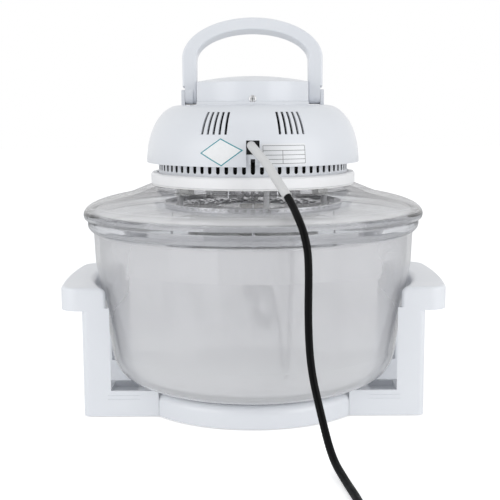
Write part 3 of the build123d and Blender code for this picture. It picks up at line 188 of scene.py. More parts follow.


class Finish:
    """A procedural material: one Principled shader, with helpers for the patterns that feed it."""

    def __init__(self, name, color, roughness, metallic=0.0):
        self.material = bpy.data.materials.new(name)
        self.material.use_nodes = True
        self.tree = self.material.node_tree
        self.shader = self.tree.nodes["Principled BSDF"]
        self.set("Base Color", (*color, 1.0))
        self.set("Roughness", roughness)
        self.set("Metallic", metallic)
        coordinates = self.tree.nodes.new("ShaderNodeTexCoord")
        self.place = coordinates.outputs["Object"]

    def set(self, socket, value):
        self.shader.inputs[socket].default_value = value

    def link(self, source, target):
        self.tree.links.new(source, target)

    def noise(self, scale, detail=2.0, stretch=None):
        """A noise pattern of about 1/scale metres, optionally stretched along the axes."""
        node = self.tree.nodes.new("ShaderNodeTexNoise")
        node.inputs["Scale"].default_value = scale
        node.inputs["Detail"].default_value = detail
        source = self.place
        if stretch:
            mapping = self.tree.nodes.new("ShaderNodeMapping")
            mapping.inputs["Scale"].default_value = stretch
            self.link(self.place, mapping.inputs["Vector"])
            source = mapping.outputs["Vector"]
        self.link(source, node.inputs["Vector"])
        return node.outputs["Fac"]

    def spread(self, source, low, high):
        """The pattern's middle range mapped to low..high."""
        node = self.tree.nodes.new("ShaderNodeMapRange")
        node.inputs["From Min"].default_value = 0.3
        node.inputs["From Max"].default_value = 0.7
        node.inputs["To Min"].default_value = low
        node.inputs["To Max"].default_value = high
        self.link(source, node.inputs["Value"])
        return node.outputs["Result"]

    def blended(self, share, first, second):
        """Two colours mixed by a pattern; each is a colour or another node's output."""
        mix = self.tree.nodes.new("ShaderNodeMix")
        mix.data_type = "RGBA"
        self.link(share, mix.inputs["Factor"])
        for socket, color in (("A", first), ("B", second)):
            if isinstance(color, bpy.types.NodeSocket):
                self.link(color, mix.inputs[socket])
            else:
                mix.inputs[socket].default_value = (*color, 1.0)
        return mix.outputs["Result"]

    def color_source(self):
        """The node output that gives the shader its colour."""
        return self.shader.inputs["Base Color"].links[0].from_socket

    def vary_color(self, source, first, second):
        color = self.blended(self.spread(source, 0.0, 1.0), first, second)
        self.link(color, self.shader.inputs["Base Color"])

    def vary_roughness(self, source, low, high):
        self.link(self.spread(source, low, high), self.shader.inputs["Roughness"])

    def math(self, operation, *values):
        """A Math node; each value is a number or another node's output."""
        node = self.tree.nodes.new("ShaderNodeMath")
        node.operation = operation
        for socket, value in zip(node.inputs, values):
            if isinstance(value, bpy.types.NodeSocket):
                self.link(value, socket)
            else:
                socket.default_value = value
        return node.outputs[0]

    def step(self, source, low, high):
        """0 at low, 1 at high, with soft ends."""
        node = self.tree.nodes.new("ShaderNodeMapRange")
        node.interpolation_type = "SMOOTHSTEP"
        node.inputs["From Min"].default_value = low
        node.inputs["From Max"].default_value = high
        self.link(source, node.inputs["Value"])
        return node.outputs["Result"]

    def mixed(self, share, first, second):
        """Two shaders mixed by a pattern."""
        node = self.tree.nodes.new("ShaderNodeMixShader")
        self.link(share, node.inputs["Fac"])
        self.link(first, node.inputs[1])
        self.link(second, node.inputs[2])
        return node.outputs[0]

    def show(self, shader):
        self.link(shader, self.tree.nodes["Material Output"].inputs["Surface"])

    def bump(self, source, depth, strength=1.0):
        node = self.tree.nodes.new("ShaderNodeBump")
        node.inputs["Distance"].default_value = depth
        node.inputs["Strength"].default_value = strength
        self.link(source, node.inputs["Height"])
        self.link(node.outputs["Normal"], self.shader.inputs["Normal"])


def white_plastic(name, shades):
    """Smooth moulded plastic of two close shades, with faint flow marks."""
    first, second = shades
    finish = Finish(name, first, 0.32)
    finish.vary_color(finish.noise(9.0), first, second)
    finish.vary_roughness(finish.noise(60.0, 3.0), 0.28, 0.36)
    finish.bump(finish.noise(900.0, 2.0), 0.00003, 0.25)
    finish.set("Coat Weight", 0.15)
    finish.set("Coat Roughness", 0.15)
    return finish


def plastic_with_painted_shade():
    """The vents' ring: white plastic with painted shade, black inside a radius, which shows in the sides of every
    slot.
    """
    soft_edge = 0.0003
    finish = white_plastic("vent_painted_shade_plastic", cool_white)
    flat = finish.tree.nodes.new("ShaderNodeVectorMath")
    flat.operation = "MULTIPLY"
    flat.inputs[1].default_value = (1.0, 1.0, 0.0)
    finish.link(finish.place, flat.inputs[0])
    reach = finish.tree.nodes.new("ShaderNodeVectorMath")
    reach.operation = "LENGTH"
    finish.link(flat.outputs[0], reach.inputs[0])
    skin = finish.step(reach.outputs["Value"], vent_painted_shade_radius - soft_edge, vent_painted_shade_radius + soft_edge)
    # Painted shade: black inside the radius stands in for the shade in the slots.
    color = finish.blended(skin, (0.012, 0.012, 0.012), finish.color_source())
    finish.link(color, finish.shader.inputs["Base Color"])
    return finish.material


def grey_plastic():
    """Plain inner moulding, matt dark grey."""
    finish = Finish("grey_plastic", (0.03, 0.03, 0.032), 0.6)
    finish.vary_color(finish.noise(40.0), (0.022, 0.022, 0.024), (0.038, 0.038, 0.040))
    finish.bump(finish.noise(1500.0, 2.0), 0.00004, 0.4)
    return finish.material


def oven_glass(name, milk, clear, bead):
    """Pressed oven glass: thin walls that let most light straight on, with a solid bead that bends it.

    milk is how much of each face is a milky skin, and its colour, low down and above; on the bowl the lighter,
    milkier skin low down is painted light. clear is the rest's tint and mirror share, face on and at the edges;
    bead is the heights between which the glass is solid.
    """
    low_z, high_z = bead
    soft_below, soft_above = 0.0015, 0.004
    finish = Finish(name, milk["color"], 0.16)
    darker, lighter = ([value * share for value in milk["color"]] for share in (0.95, 1.05))
    finish.vary_color(finish.noise(11.0, 2.0), darker, lighter)
    finish.bump(finish.noise(14.0, 1.0), 0.0006, 0.12)
    finish.vary_roughness(finish.noise(30.0, 2.0), 0.10, 0.22)
    tree = finish.tree
    turned_away = tree.nodes.new("ShaderNodeLayerWeight")
    turned_away.inputs["Blend"].default_value = 0.5
    edge = finish.math("POWER", turned_away.outputs["Facing"], 5.0)
    mirrored = finish.math("MULTIPLY_ADD", edge, clear["edge_mirror"], clear["mirror"])

    through = tree.nodes.new("ShaderNodeBsdfTransparent")
    finish.link(finish.blended(edge, clear["tint"], clear["edge_tint"]), through.inputs["Color"])
    gloss = tree.nodes.new("ShaderNodeBsdfGlossy")
    gloss.inputs["Color"].default_value = (1.0, 1.0, 1.0, 1.0)
    gloss.inputs["Roughness"].default_value = 0.03
    clear_wall = finish.mixed(mirrored, through.outputs[0], gloss.outputs[0])

    height = tree.nodes.new("ShaderNodeSeparateXYZ")
    finish.link(finish.place, height.inputs[0])
    above = finish.step(height.outputs["Z"], milk["fade_z"] - milk["fade"], milk["fade_z"] + milk["fade"])
    milky = finish.math("MULTIPLY_ADD", above, milk["high_share"] - milk["low_share"], milk["low_share"])
    # The skin's colour runs from low_color below to the colour above; on the bowl the lighter lower skin is painted
    # light.
    skin = finish.blended(above, milk["low_color"], finish.color_source())
    finish.link(skin, finish.shader.inputs["Base Color"])
    wall = finish.mixed(milky, clear_wall, finish.shader.outputs[0])

    solid = tree.nodes.new("ShaderNodeBsdfGlass")
    solid.inputs["Color"].default_value = (0.82, 0.825, 0.835, 1.0)
    solid.inputs["Roughness"].default_value = 0.015
    solid.inputs["IOR"].default_value = 1.47
    rises = finish.step(height.outputs["Z"], low_z - soft_below, low_z)
    falls = finish.step(height.outputs["Z"], high_z + soft_above, high_z)
    finish.show(finish.mixed(finish.math("MULTIPLY", rises, falls), wall, solid.outputs[0]))
    return finish.material


def quartz_tube():
    finish = Finish("quartz", (0.95, 0.95, 0.93), 0.15)
    finish.set("Transmission Weight", 0.85)
    finish.set("IOR", 1.46)
    finish.bump(finish.noise(500.0), 0.0001, 0.2)
    return finish.material


def lamp_lens():
    finish = Finish("lamp_lens", (0.75, 0.10, 0.04), 0.15)
    finish.set("Transmission Weight", 0.5)
    finish.bump(finish.noise(700.0), 0.0001, 0.3)
    return finish.material


def hammered_aluminium():
    """Bright beaten sheet, with the fine scuffs of its rolling."""
    finish = Finish("hammered_aluminium", (0.80, 0.80, 0.81), 0.12, 1.0)
    finish.bump(finish.noise(600.0, 2.0), 0.00006, 0.3)
    finish.vary_roughness(finish.noise(70.0, 3.0), 0.07, 0.17)
    return finish.material


def plain_steel(name, color, roughness):
    """Rolled sheet or turned steel with a faint grain."""
    finish = Finish(name, color, roughness, 1.0)
    finish.vary_roughness(finish.noise(300.0, 3.0, (1.0, 1.0, 6.0)), roughness - 0.08, roughness + 0.08)
    finish.bump(finish.noise(800.0, 2.0, (1.0, 1.0, 5.0)), 0.00004, 0.4)
    return finish.material


def rubber(name, color):
    finish = Finish(name, color, 0.62)
    finish.vary_roughness(finish.noise(200.0), 0.5, 0.72)
    finish.bump(finish.noise(1600.0), 0.00005, 0.5)
    return finish.material


def black_sheath():
    """The mains lead's black sheath, a little glossy."""
    finish = Finish("black_sheath", (0.003, 0.003, 0.0035), 0.45)
    finish.set("Specular IOR Level", 0.1)
    finish.vary_roughness(finish.noise(120.0), 0.38, 0.54)
    finish.bump(finish.noise(700.0, 2.0), 0.0001, 0.3)
    return finish.material


def winding_tape():
    """Dark cloth tape in overlapping turns round the motor's winding."""
    finish = Finish("winding_tape", (0.05, 0.05, 0.05), 0.8)
    turns = finish.tree.nodes.new("ShaderNodeTexWave")
    turns.bands_direction = "X"
    turns.wave_profile = "SAW"
    turns.inputs["Scale"].default_value = 45.0
    finish.link(finish.place, turns.inputs["Vector"])
    finish.vary_color(finish.noise(400.0), (0.04, 0.04, 0.04), (0.065, 0.06, 0.055))
    finish.bump(turns.outputs["Fac"], 0.0005, 0.7)
    return finish.material


def polished_aluminium():
    """The reflector's spun side: bright, with the fine rings that spinning leaves."""
    finish = Finish("polished_aluminium", (0.80, 0.80, 0.81), 0.12, 1.0)
    finish.vary_roughness(finish.noise(60.0, 3.0, (1.0, 1.0, 14.0)), 0.08, 0.2)
    finish.bump(finish.noise(45.0, 2.0, (1.0, 1.0, 10.0)), 0.0004, 0.35)
    return finish.material


def ceramic():
    finish = Finish("lamp_ceramic", (0.78, 0.75, 0.68), 0.55)
    finish.vary_color(finish.noise(150.0, 4.0), (0.74, 0.71, 0.64), (0.82, 0.79, 0.73))
    finish.bump(finish.noise(900.0), 0.00008, 0.4)
    return finish.material


finishes = {
    "white_plastic": white_plastic("white_plastic", cool_white).material,
    "grey_plastic": grey_plastic(),
    "glass": oven_glass(
        "lid_glass",
        milk={
            "low_share": 0.43, "high_share": 0.01, "fade_z": 0.2115, "fade": 0.008,
            "color": (0.84, 0.84, 0.85), "low_color": (0.88, 0.88, 0.885),
        },
        clear={"tint": (0.93, 0.93, 0.935), "edge_tint": (0.42, 0.42, 0.43), "mirror": 0.05, "edge_mirror": 0.44},
        bead=(0.190, 0.202),
    ),
    "quartz": quartz_tube(),
    "lens": lamp_lens(),
    "aluminium": hammered_aluminium(),
    "steel": plain_steel("rolled_steel", (0.50, 0.50, 0.50), 0.35),
    "chromed": plain_steel("chromed_wire", (0.70, 0.70, 0.71), 0.14),
    "zinc": plain_steel("zinc_plate", (0.62, 0.62, 0.60), 0.3),
    "winding_tape": winding_tape(),
    "dark_steel": plain_steel("phosphated_steel", (0.07, 0.07, 0.075), 0.55),
    "bronze": plain_steel("sintered_bronze", (0.45, 0.28, 0.12), 0.45),
    "nickel": plain_steel("nickel_plate", (0.66, 0.62, 0.52), 0.25),
    "ceramic": ceramic(),
    "black_rubber": rubber("black_rubber", (0.014, 0.014, 0.014)),
    "grey_rubber": rubber("grey_rubber", (0.66, 0.66, 0.66)),
    "clear_rubber": rubber("pale_rubber", (0.92, 0.92, 0.91)),
}
black_lead = black_sheath()
# The same white plastic, made lighter for the stand: painted light.
stand_painted_light_plastic = white_plastic("stand_painted_light_plastic", stand_painted_light_white).material
flange_plastic = white_plastic("flange_plastic", flange_white).material
# The bowl's skin is painted lighter and milkier low down: painted light for the bright tray and floor that show
# through the glass.
bowl_glass = oven_glass(
    "bowl_glass",
    milk={
        "low_share": 0.46, "high_share": 0.31, "fade_z": 0.085, "fade": 0.055,
        "color": (0.79, 0.79, 0.81), "low_color": (0.95, 0.955, 0.97),
    },
    clear={"tint": (0.95, 0.95, 0.955), "edge_tint": (0.50, 0.50, 0.51), "mirror": 0.09, "edge_mirror": 0.88},
    bead=(0.184, 0.200),
)
spun_aluminium = polished_aluminium()
vent_painted_shade_plastic = plastic_with_painted_shade()


def bright_zinc():
    """The screws' thick, slightly chalky zinc."""
    finish = Finish("bright_zinc", (0.80, 0.80, 0.80), 0.35, 0.45)
    finish.vary_roughness(finish.noise(700.0), 0.3, 0.45)
    finish.bump(finish.noise(1800.0), 0.00003, 0.4)
    return finish.material


screw_zinc = bright_zinc()


def post_sleeve():
    """The pan's posts: pale, satin sleeves."""
    finish = Finish("post_sleeve", (0.96, 0.96, 0.96), 0.3, 0.1)
    finish.vary_roughness(finish.noise(300.0), 0.25, 0.4)
    finish.bump(finish.noise(900.0), 0.00003, 0.3)
    return finish.material


def dress_nodes():
    """Every CAD node takes the finish of its material slot."""
    for part in frame["record"]["subparts"]:
        piece = nodes[part["node"]]
        piece.data.materials.clear()
        piece.data.materials.append(finishes[part["material_slot"]])
    # Some nodes take a finish of their own; the stand's three parts take the lighter white, which is painted light.
    for node, finish in (
        ("head_flange", flange_plastic), ("glass_bowl", bowl_glass), ("reflector_pan", spun_aluminium),
        ("vent_neck", vent_painted_shade_plastic), ("reflector_posts", post_sleeve()), ("base_tray", stand_painted_light_plastic),
        ("side_handle_right", stand_painted_light_plastic), ("side_handle_left", stand_painted_light_plastic),
    ):
        nodes[node].data.materials[0] = finish


# ---------------------------------------------------------------- pieces from plain meshes
def add_piece(name, data, body):
    """An object with this mesh, which rides on the body."""
    piece = bpy.data.objects.new(name, data)
    bpy.context.scene.collection.objects.link(piece)
    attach(piece, body)
    return piece


def closed_mesh(name, mesh, finish):
    """The built faces as a mesh of one finish, with their normals outwards."""
    bmesh.ops.recalc_face_normals(mesh, faces=mesh.faces)
    data = bpy.data.meshes.new(name)
    mesh.to_mesh(data)
    mesh.free()
    data.materials.append(finish)
    return data


def turned_ring(name, outline, finish, steps=192):
    """The mesh of a closed ring about Z from (radius, height) points in millimetres."""
    mesh = bmesh.new()
    rings = []
    for radius, height in outline:
        ring = []
        for step in range(steps):
            angle = 2 * math.pi * step / steps
            ring.append(mesh.verts.new((radius * MM * math.cos(angle), radius * MM * math.sin(angle), height * MM)))
        rings.append(ring)
    for here, there in zip(rings, rings[1:] + rings[:1]):
        for step in range(steps):
            after = (step + 1) % steps
            mesh.faces.new((here[step], here[after], there[after], there[step]))
    data = closed_mesh(name, mesh, finish)
    data.shade_smooth()
    return data


# ---------------------------------------------------------------- what repeats, by Geometry Nodes
class Pattern:
    """A Geometry Nodes tree with named sizes, whose result becomes a plain mesh."""

    def __init__(self, name):
        self.name = name
        self.tree = bpy.data.node_groups.new(name, "GeometryNodeTree")
        self.tree.interface.new_socket("Geometry", in_out="INPUT", socket_type="NodeSocketGeometry")
        self.tree.interface.new_socket("Geometry", in_out="OUTPUT", socket_type="NodeSocketGeometry")
        self.given = self.tree.nodes.new("NodeGroupInput")
        self.sizes = {}

    def size(self, name, value):
        """A named input: a number, or a whole number for a count."""
        kind = "NodeSocketInt" if isinstance(value, int) else "NodeSocketFloat"
        socket = self.tree.interface.new_socket(name, in_out="INPUT", socket_type=kind)
        self.sizes[socket.identifier] = value
        return self.given.outputs[name]

    def add(self, kind, inputs=(), output=0, **settings):
        """A node with its inputs set or linked, by name or place; gives one of its outputs."""
        node = self.tree.nodes.new(kind)
        for key, value in settings.items():
            setattr(node, key, value)
        for key, value in dict(inputs).items():
            if isinstance(value, bpy.types.NodeSocket):
                self.tree.links.new(value, node.inputs[key])
            else:
                node.inputs[key].default_value = value
        return node.outputs[output]

    def math(self, operation, *values):
        return self.add("ShaderNodeMath", enumerate(values), operation=operation)

    def vector(self, **parts):
        """A vector from named X, Y and Z; what isn't named is 0."""
        return self.add("ShaderNodeCombineXYZ", parts)

    def apart(self, vector):
        """The X, Y and Z of a vector."""
        node = self.tree.nodes.new("ShaderNodeSeparateXYZ")
        self.tree.links.new(vector, node.inputs[0])
        return node.outputs

    def moved(self, shape, lift):
        """The shape raised along Z."""
        return self.add("GeometryNodeTransform", {"Geometry": shape, "Translation": self.vector(Z=lift)})

    def join(self, *parts):
        node = self.tree.nodes.new("GeometryNodeJoinGeometry")
        for part in parts:
            self.tree.links.new(part, node.inputs[0])
        return node.outputs[0]

    def make(self, shape, finish, body, points=None, replaces=None, smooth=True):
        """Runs the tree on points and leaves one plain mesh that rides on the body."""
        real = self.add("GeometryNodeRealizeInstances", {0: shape})
        shaded = self.add("GeometryNodeSetShadeSmooth", {"Geometry": real, "Shade Smooth": smooth})
        dressed = self.add("GeometryNodeSetMaterial", {"Geometry": shaded, "Material": finish})
        out = self.tree.nodes.new("NodeGroupOutput")
        self.tree.links.new(dressed, out.inputs[0])
        seed = bpy.data.objects.new(self.name + "_seed", points or bpy.data.meshes.new(self.name + "_seed"))
        bpy.context.scene.collection.objects.link(seed)
        modifier = seed.modifiers.new(self.name, "NODES")
        modifier.node_group = self.tree
        for identifier, value in self.sizes.items():
            modifier[identifier] = value
        ready = seed.evaluated_get(bpy.context.evaluated_depsgraph_get())
        mesh = bpy.data.meshes.new_from_object(ready)
        mesh.name = self.name
        bpy.data.objects.remove(seed)
        piece = add_piece(self.name, mesh, body)
        if replaces:
            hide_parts(replaces)


def seat_points(name, seats):
    """A mesh of loose points at the seats, each with the direction that its piece faces."""
    mesh = bpy.data.meshes.new(name + "_seats")
    mesh.from_pydata([[value * MM for value in place] for place, _ in seats], [], [])
    facing = mesh.attributes.new("facing", "FLOAT_VECTOR", "POINT")
    for item, (_, direction) in zip(facing.data, seats):
        item.vector = direction
    return mesh


# Shares of a screw head's radius and height: how far its rim drops, and its cross recess.
crown_drop = 0.4
recess_length = 1.25
recess_width = 0.26
recess_lift = 0.95


def cross_screws(name, seats, head, shank, body, node):
    """Pan-head screws with a cross recess, one on each seat; head and shank are a radius and a length in mm."""
    run = Pattern(name)
    head_r = run.size("Head Radius", head[0] * MM)
    head_h = run.size("Head Height", head[1] * MM)
    shank_r = run.size("Shank Radius", shank[0] * MM)
    shank_l = run.size("Shank Length", shank[1] * MM)
    disc = run.add(
        "GeometryNodeMeshCylinder",
        {"Vertices": 40, "Side Segments": 2, "Fill Segments": 5, "Radius": head_r, "Depth": head_h},
    )
    place = run.apart(run.add("GeometryNodeInputPosition"))
    level = run.vector(X=place["X"], Y=place["Y"])
    reach = run.add("ShaderNodeVectorMath", {0: level}, output=1, operation="LENGTH")
    fall = run.math("POWER", run.math("DIVIDE", reach, head_r), 3.0)
    drop = run.math("MULTIPLY", run.math("MULTIPLY", fall, head_h), -crown_drop)
    upper = run.math("GREATER_THAN", place["Z"], 0.01 * MM)
    crown = run.vector(Z=run.math("MULTIPLY", drop, upper))
    crowned = run.add("GeometryNodeSetPosition", {"Geometry": disc, "Offset": crown})
    cut = run.moved(crowned, run.math("MULTIPLY", head_h, 0.5))
    for x_share, y_share in ((recess_length, recess_width), (recess_width, recess_length)):
        across, along = (run.math("MULTIPLY", head_r, share) for share in (x_share, y_share))
        block = run.add("GeometryNodeMeshCube", {"Size": run.vector(X=across, Y=along, Z=head_h)})
        arm = run.moved(block, run.math("MULTIPLY", head_h, recess_lift))
        cut = run.add("GeometryNodeMeshBoolean", {0: cut, 1: arm}, operation="DIFFERENCE")
    pin = run.add("GeometryNodeMeshCylinder", {"Vertices": 20, "Radius": shank_r, "Depth": shank_l})
    hung = run.moved(pin, run.math("MULTIPLY", shank_l, -0.5))
    facing = run.add("GeometryNodeInputNamedAttribute", {"Name": "facing"}, data_type="FLOAT_VECTOR")
    turn = run.add("FunctionNodeAlignRotationToVector", {"Vector": facing}, axis="Z")
    screws = run.add(
        "GeometryNodeInstanceOnPoints",
        {"Points": run.given.outputs["Geometry"], "Instance": run.join(cut, hung), "Rotation": turn},
    )
    run.make(screws, screw_zinc, body, seat_points(name, seats), node, smooth=False)


def ring_of_bars(name, center, ring, bar, along_y, finish, body):
    """Small round bars in a ring about a line along Y, lying along it or pointing at it.

    ring is the ring's radius, its first and last angle in degrees and the count; bar is a radius and a length.
    """
    ring_radius, first_deg, last_deg, count = ring
    bar_radius, bar_length = bar
    run = Pattern(name)
    number = run.size("Count", count)
    reach = run.size("Ring Radius", ring_radius * MM)
    thick = run.size("Bar Radius", bar_radius * MM)
    length = run.size("Bar Length", bar_length * MM)
    first = run.size("First Angle", math.radians(first_deg))
    pitch = run.size("Pitch", math.radians((last_deg - first_deg) / (count - 1)))
    line = run.add("GeometryNodeMeshLine", {"Count": number})
    angle = run.math("MULTIPLY_ADD", run.add("GeometryNodeInputIndex"), pitch, first)
    center_x, center_y, center_z = (value * MM for value in center)
    spot = run.vector(
        X=run.math("MULTIPLY_ADD", run.math("SINE", angle), reach, center_x),
        Y=center_y,
        Z=run.math("MULTIPLY_ADD", run.math("COSINE", angle), reach, center_z),
    )
    spread = run.add("GeometryNodeSetPosition", {"Geometry": line, "Position": spot})
    rod = run.add("GeometryNodeMeshCylinder", {"Vertices": 10, "Radius": thick, "Depth": length})
    tilt = math.pi / 2 if along_y else 0.0
    laid = run.add("GeometryNodeTransform", {"Geometry": rod, "Rotation": (tilt, 0.0, 0.0)})
    turn = run.vector(Y=angle)
    bars = run.add("GeometryNodeInstanceOnPoints", {"Points": spread, "Instance": laid, "Rotation": turn})
    run.make(bars, finish, body, smooth=False)


def hammered_floor():
    """The reflector's floor: thin bright sheet, beaten all over with shallow round dimples."""
    inner, outer, floor_top = 34.6, 91.0, 205.05
    dimple_width, dimple_depth = 6.7, 2.8
    fade_share = 12.0            # the dimples fade out over one part in this many at both edges of the sheet
    run = Pattern("hammered_floor")
    dimple = run.size("Dimple Width", dimple_width * MM)
    depth = run.size("Dimple Depth", dimple_depth * MM)
    inside = run.size("Inner Radius", inner * MM)
    width = run.size("Ring Width", (outer - inner) * MM)
    sheet = {"Size X": 2 * math.pi, "Size Y": 1.0, "Vertices X": 481, "Vertices Y": 64}
    grid = run.add("GeometryNodeMeshGrid", sheet)
    place = run.apart(run.add("GeometryNodeInputPosition"))
    along = run.math("ADD", place["Y"], 0.5)
    reach = run.math("MULTIPLY_ADD", along, width, inside)
    flat = {
        "X": run.math("MULTIPLY", run.math("COSINE", place["X"]), reach),
        "Y": run.math("MULTIPLY", run.math("SINE", place["X"]), reach),
    }
    beaten = {"Vector": run.vector(**flat), "Scale": run.math("DIVIDE", 1.0, dimple), "Smoothness": 0.25}
    cells = run.add("ShaderNodeTexVoronoi", beaten, feature="SMOOTH_F1")
    edge = run.math("MINIMUM", along, run.math("SUBTRACT", 1.0, along))
    fade = run.math("MINIMUM", run.math("MULTIPLY", edge, fade_share), 1.0)
    rise = run.math("MULTIPLY", run.math("MULTIPLY", cells, depth), fade)
    spot = run.vector(**flat, Z=run.math("ADD", rise, floor_top * MM))
    bent = run.add("GeometryNodeSetPosition", {"Geometry": grid, "Position": spot})
    closed = run.add("GeometryNodeMergeByDistance", {"Geometry": bent, "Distance": 0.01 * MM})
    run.make(closed, finishes["aluminium"], "lid")


def lamp_filament():
    """The tungsten wire wound in a long fine helix inside the quartz ring."""
    ring_radius, helix_radius, wire_radius, tube_z = 64.0, 1.2, 0.22, 197.2
    turn_count, steps_per_turn = 190, 12
    first_deg, swept_deg = -68.0, 316.0
    run = Pattern("lamp_filament")
    ring = run.size("Ring Radius", ring_radius * MM)
    coil = run.size("Helix Radius", helix_radius * MM)
    turns = run.size("Turns", turn_count)
    wire = run.size("Wire Radius", wire_radius * MM)
    arc = run.add(
        "GeometryNodeCurveArc",
        {
            "Resolution": turn_count * steps_per_turn + 1, "Radius": ring,
            "Start Angle": math.radians(first_deg), "Sweep Angle": math.radians(swept_deg),
        },
        mode="RADIUS",
    )
    along = run.add("GeometryNodeSplineParameter")
    turn = run.math("MULTIPLY", run.math("MULTIPLY", along, turns), 2 * math.pi)
    outward = run.add("ShaderNodeVectorMath", {0: run.add("GeometryNodeInputPosition")}, operation="NORMALIZE")
    swing = run.math("MULTIPLY", run.math("COSINE", turn), coil)
    across = run.add("ShaderNodeVectorMath", {0: outward, "Scale": swing}, operation="SCALE")
    lifted = run.vector(Z=run.math("ADD", run.math("MULTIPLY", run.math("SINE", turn), coil), tube_z * MM))
    offset = run.add("ShaderNodeVectorMath", {0: across, 1: lifted}, operation="ADD")
    wound = run.add("GeometryNodeSetPosition", {"Geometry": arc, "Offset": offset})
    section = run.add("GeometryNodeCurvePrimitiveCircle", {"Resolution": 5, "Radius": wire})
    drawn = run.add("GeometryNodeCurveToMesh", {"Curve": wound, "Profile Curve": section, "Fill Caps": True})
    run.make(drawn, finishes["zinc"], "lid")


# ---------------------------------------------------------------- head: gauze, labels, screws
dome_corners = ((110.5, 252.3), (110.5, 285.0), (95.0, 310.3), (76.0, 310.3))
patch_depth = 0.1                # how far a pressed-on plate reaches under the dome's surface


def dome_reach(height):
    """The dome's radius at a height, in millimetres, from its outer curve."""
    low, high = 0.0, 1.0
    for _ in range(40):
        t = (low + high) / 2
        s = 1 - t
        radius, rise = (
            s**3 * a + 3 * s * s * t * b + 3 * s * t * t * c + t**3 * d for a, b, c, d in zip(*dome_corners)
        )
        if rise < height:
            low = t
        else:
            high = t
    return radius


def dome_patch(name, corners, proud, finish, columns=24, rows=12):
    """A thin plate pressed on to the dome between four corners (degrees from the rear, height)."""
    mesh = bmesh.new()
    layers = []
    for lift in (-patch_depth, proud):
        layer = []
        for row in range(rows + 1):
            v = row / rows
            line = []
            for column in range(columns + 1):
                u = column / columns
                azimuth, height = (
                    (1 - u) * (1 - v) * a + u * (1 - v) * b + u * v * c + (1 - u) * v * d
                    for a, b, c, d in zip(*corners)
                )
                turn = math.radians(azimuth)
                reach = (dome_reach(height) + lift) * MM
                line.append(mesh.verts.new((reach * math.sin(turn), reach * math.cos(turn), height * MM)))
            layer.append(line)
        layers.append(layer)
    under, over = layers
    for row in range(rows):
        for column in range(columns):
            for layer in layers:
                mesh.faces.new(
                    (layer[row][column], layer[row][column + 1], layer[row + 1][column + 1], layer[row + 1][column])
                )
    rim = [(0, c) for c in range(columns)] + [(r, columns) for r in range(rows)]
    rim += [(rows, c) for c in range(columns, 0, -1)] + [(r, 0) for r in range(rows, 0, -1)]
    for (r0, c0), (r1, c1) in zip(rim, rim[1:] + rim[:1]):
        mesh.faces.new((under[r0][c0], under[r1][c1], over[r1][c1], over[r0][c0]))
    add_piece(name, closed_mesh(name, mesh, finish), "lid")


def label_paper():
    finish = Finish("label_paper", (0.86, 0.87, 0.88), 0.4)
    finish.vary_color(finish.noise(300.0, 3.0), (0.84, 0.85, 0.86), (0.88, 0.89, 0.90))
    finish.bump(finish.noise(900.0), 0.00003, 0.3)
    return finish.material


def label_ink(name, color):
    finish = Finish(name, color, 0.45)
    finish.vary_roughness(finish.noise(500.0), 0.38, 0.55)
    return finish.material


def plate_foil():
    """Brushed foil of the bare rating plate."""
    finish = Finish("plate_foil", (0.80, 0.81, 0.83), 0.5, 0.25)
    finish.vary_roughness(finish.noise(260.0, 3.0, (1.0, 1.0, 9.0)), 0.42, 0.58)
    finish.bump(finish.noise(500.0, 2.0, (1.0, 1.0, 12.0)), 0.00003, 0.3)
    return finish.material


def shrunk(corners, share):
    """Four corners drawn in towards their middle."""
    middle = [sum(corner[axis] for corner in corners) / 4 for axis in (0, 1)]
    return [tuple(m + (value - m) * share for m, value in zip(middle, corner)) for corner in corners]


def make_labels():
    """A bare diamond label with a ruled edge, and a bare ruled rating plate, both at the rear of the dome."""
    paper = label_paper()
    teal = label_ink("label_teal", (0.05, 0.30, 0.35))
    diamond = [(27.4, 265.2), (16.6, 279.6), (4.6, 268.3), (15.7, 252.9)]
    dome_patch("diamond_label", diamond, 0.12, paper)
    dome_patch("diamond_edge", shrunk(diamond, 0.985), 0.15, teal)
    dome_patch("diamond_middle", shrunk(diamond, 0.89), 0.18, paper)

    left, right, low, high = -4.4, -27.2, 254.2, 274.2
    dome_patch("rating_plate", [(left, low), (left, high), (right, high), (right, low)], 0.15, plate_foil())
    dark = label_ink("plate_rule", (0.10, 0.10, 0.11))
    ink_proud = 0.26
    rule_height, rule_turn, margin = 0.4, 0.2, 0.5
    near, far, middle = left - margin, right + margin, -14.8
    bottom, second, top = low + 1.2, 267.6, high - 2.0
    for number, height in enumerate((top, second, 263.4, 259.4, bottom)):
        over = height + rule_height
        corners = [(near, height), (near, over), (far, over), (far, height)]
        dome_patch(f"plate_rule_{number}", corners, ink_proud, dark, 1, 24)
    for number, (azimuth, end) in enumerate(((near, top), (middle, second), (far, top))):
        beside = azimuth - rule_turn
        corners = [(azimuth, bottom), (azimuth, end), (beside, end), (beside, bottom)]
        dome_patch(f"plate_upright_{number}", corners, ink_proud, dark, 12, 1)


def vent_shade_sheet():
    """A fine black sheet that stands behind the ring of vents: painted shade, which keeps the slots dark."""
    inner, outer, low, high = 95.5, 95.8, 242.1, 256.4
    finish = Finish("black_shade_sheet", (0.006, 0.006, 0.006), 0.7)
    finish.set("Specular IOR Level", 0.2)
    finish.bump(finish.noise(2500.0, 1.0), 0.0001, 0.8)
    outline = [(inner, low), (outer, low), (outer, high), (inner, high)]
    add_piece("vent_shade_sheet", turned_ring("vent_shade_sheet", outline, finish.material), "lid")


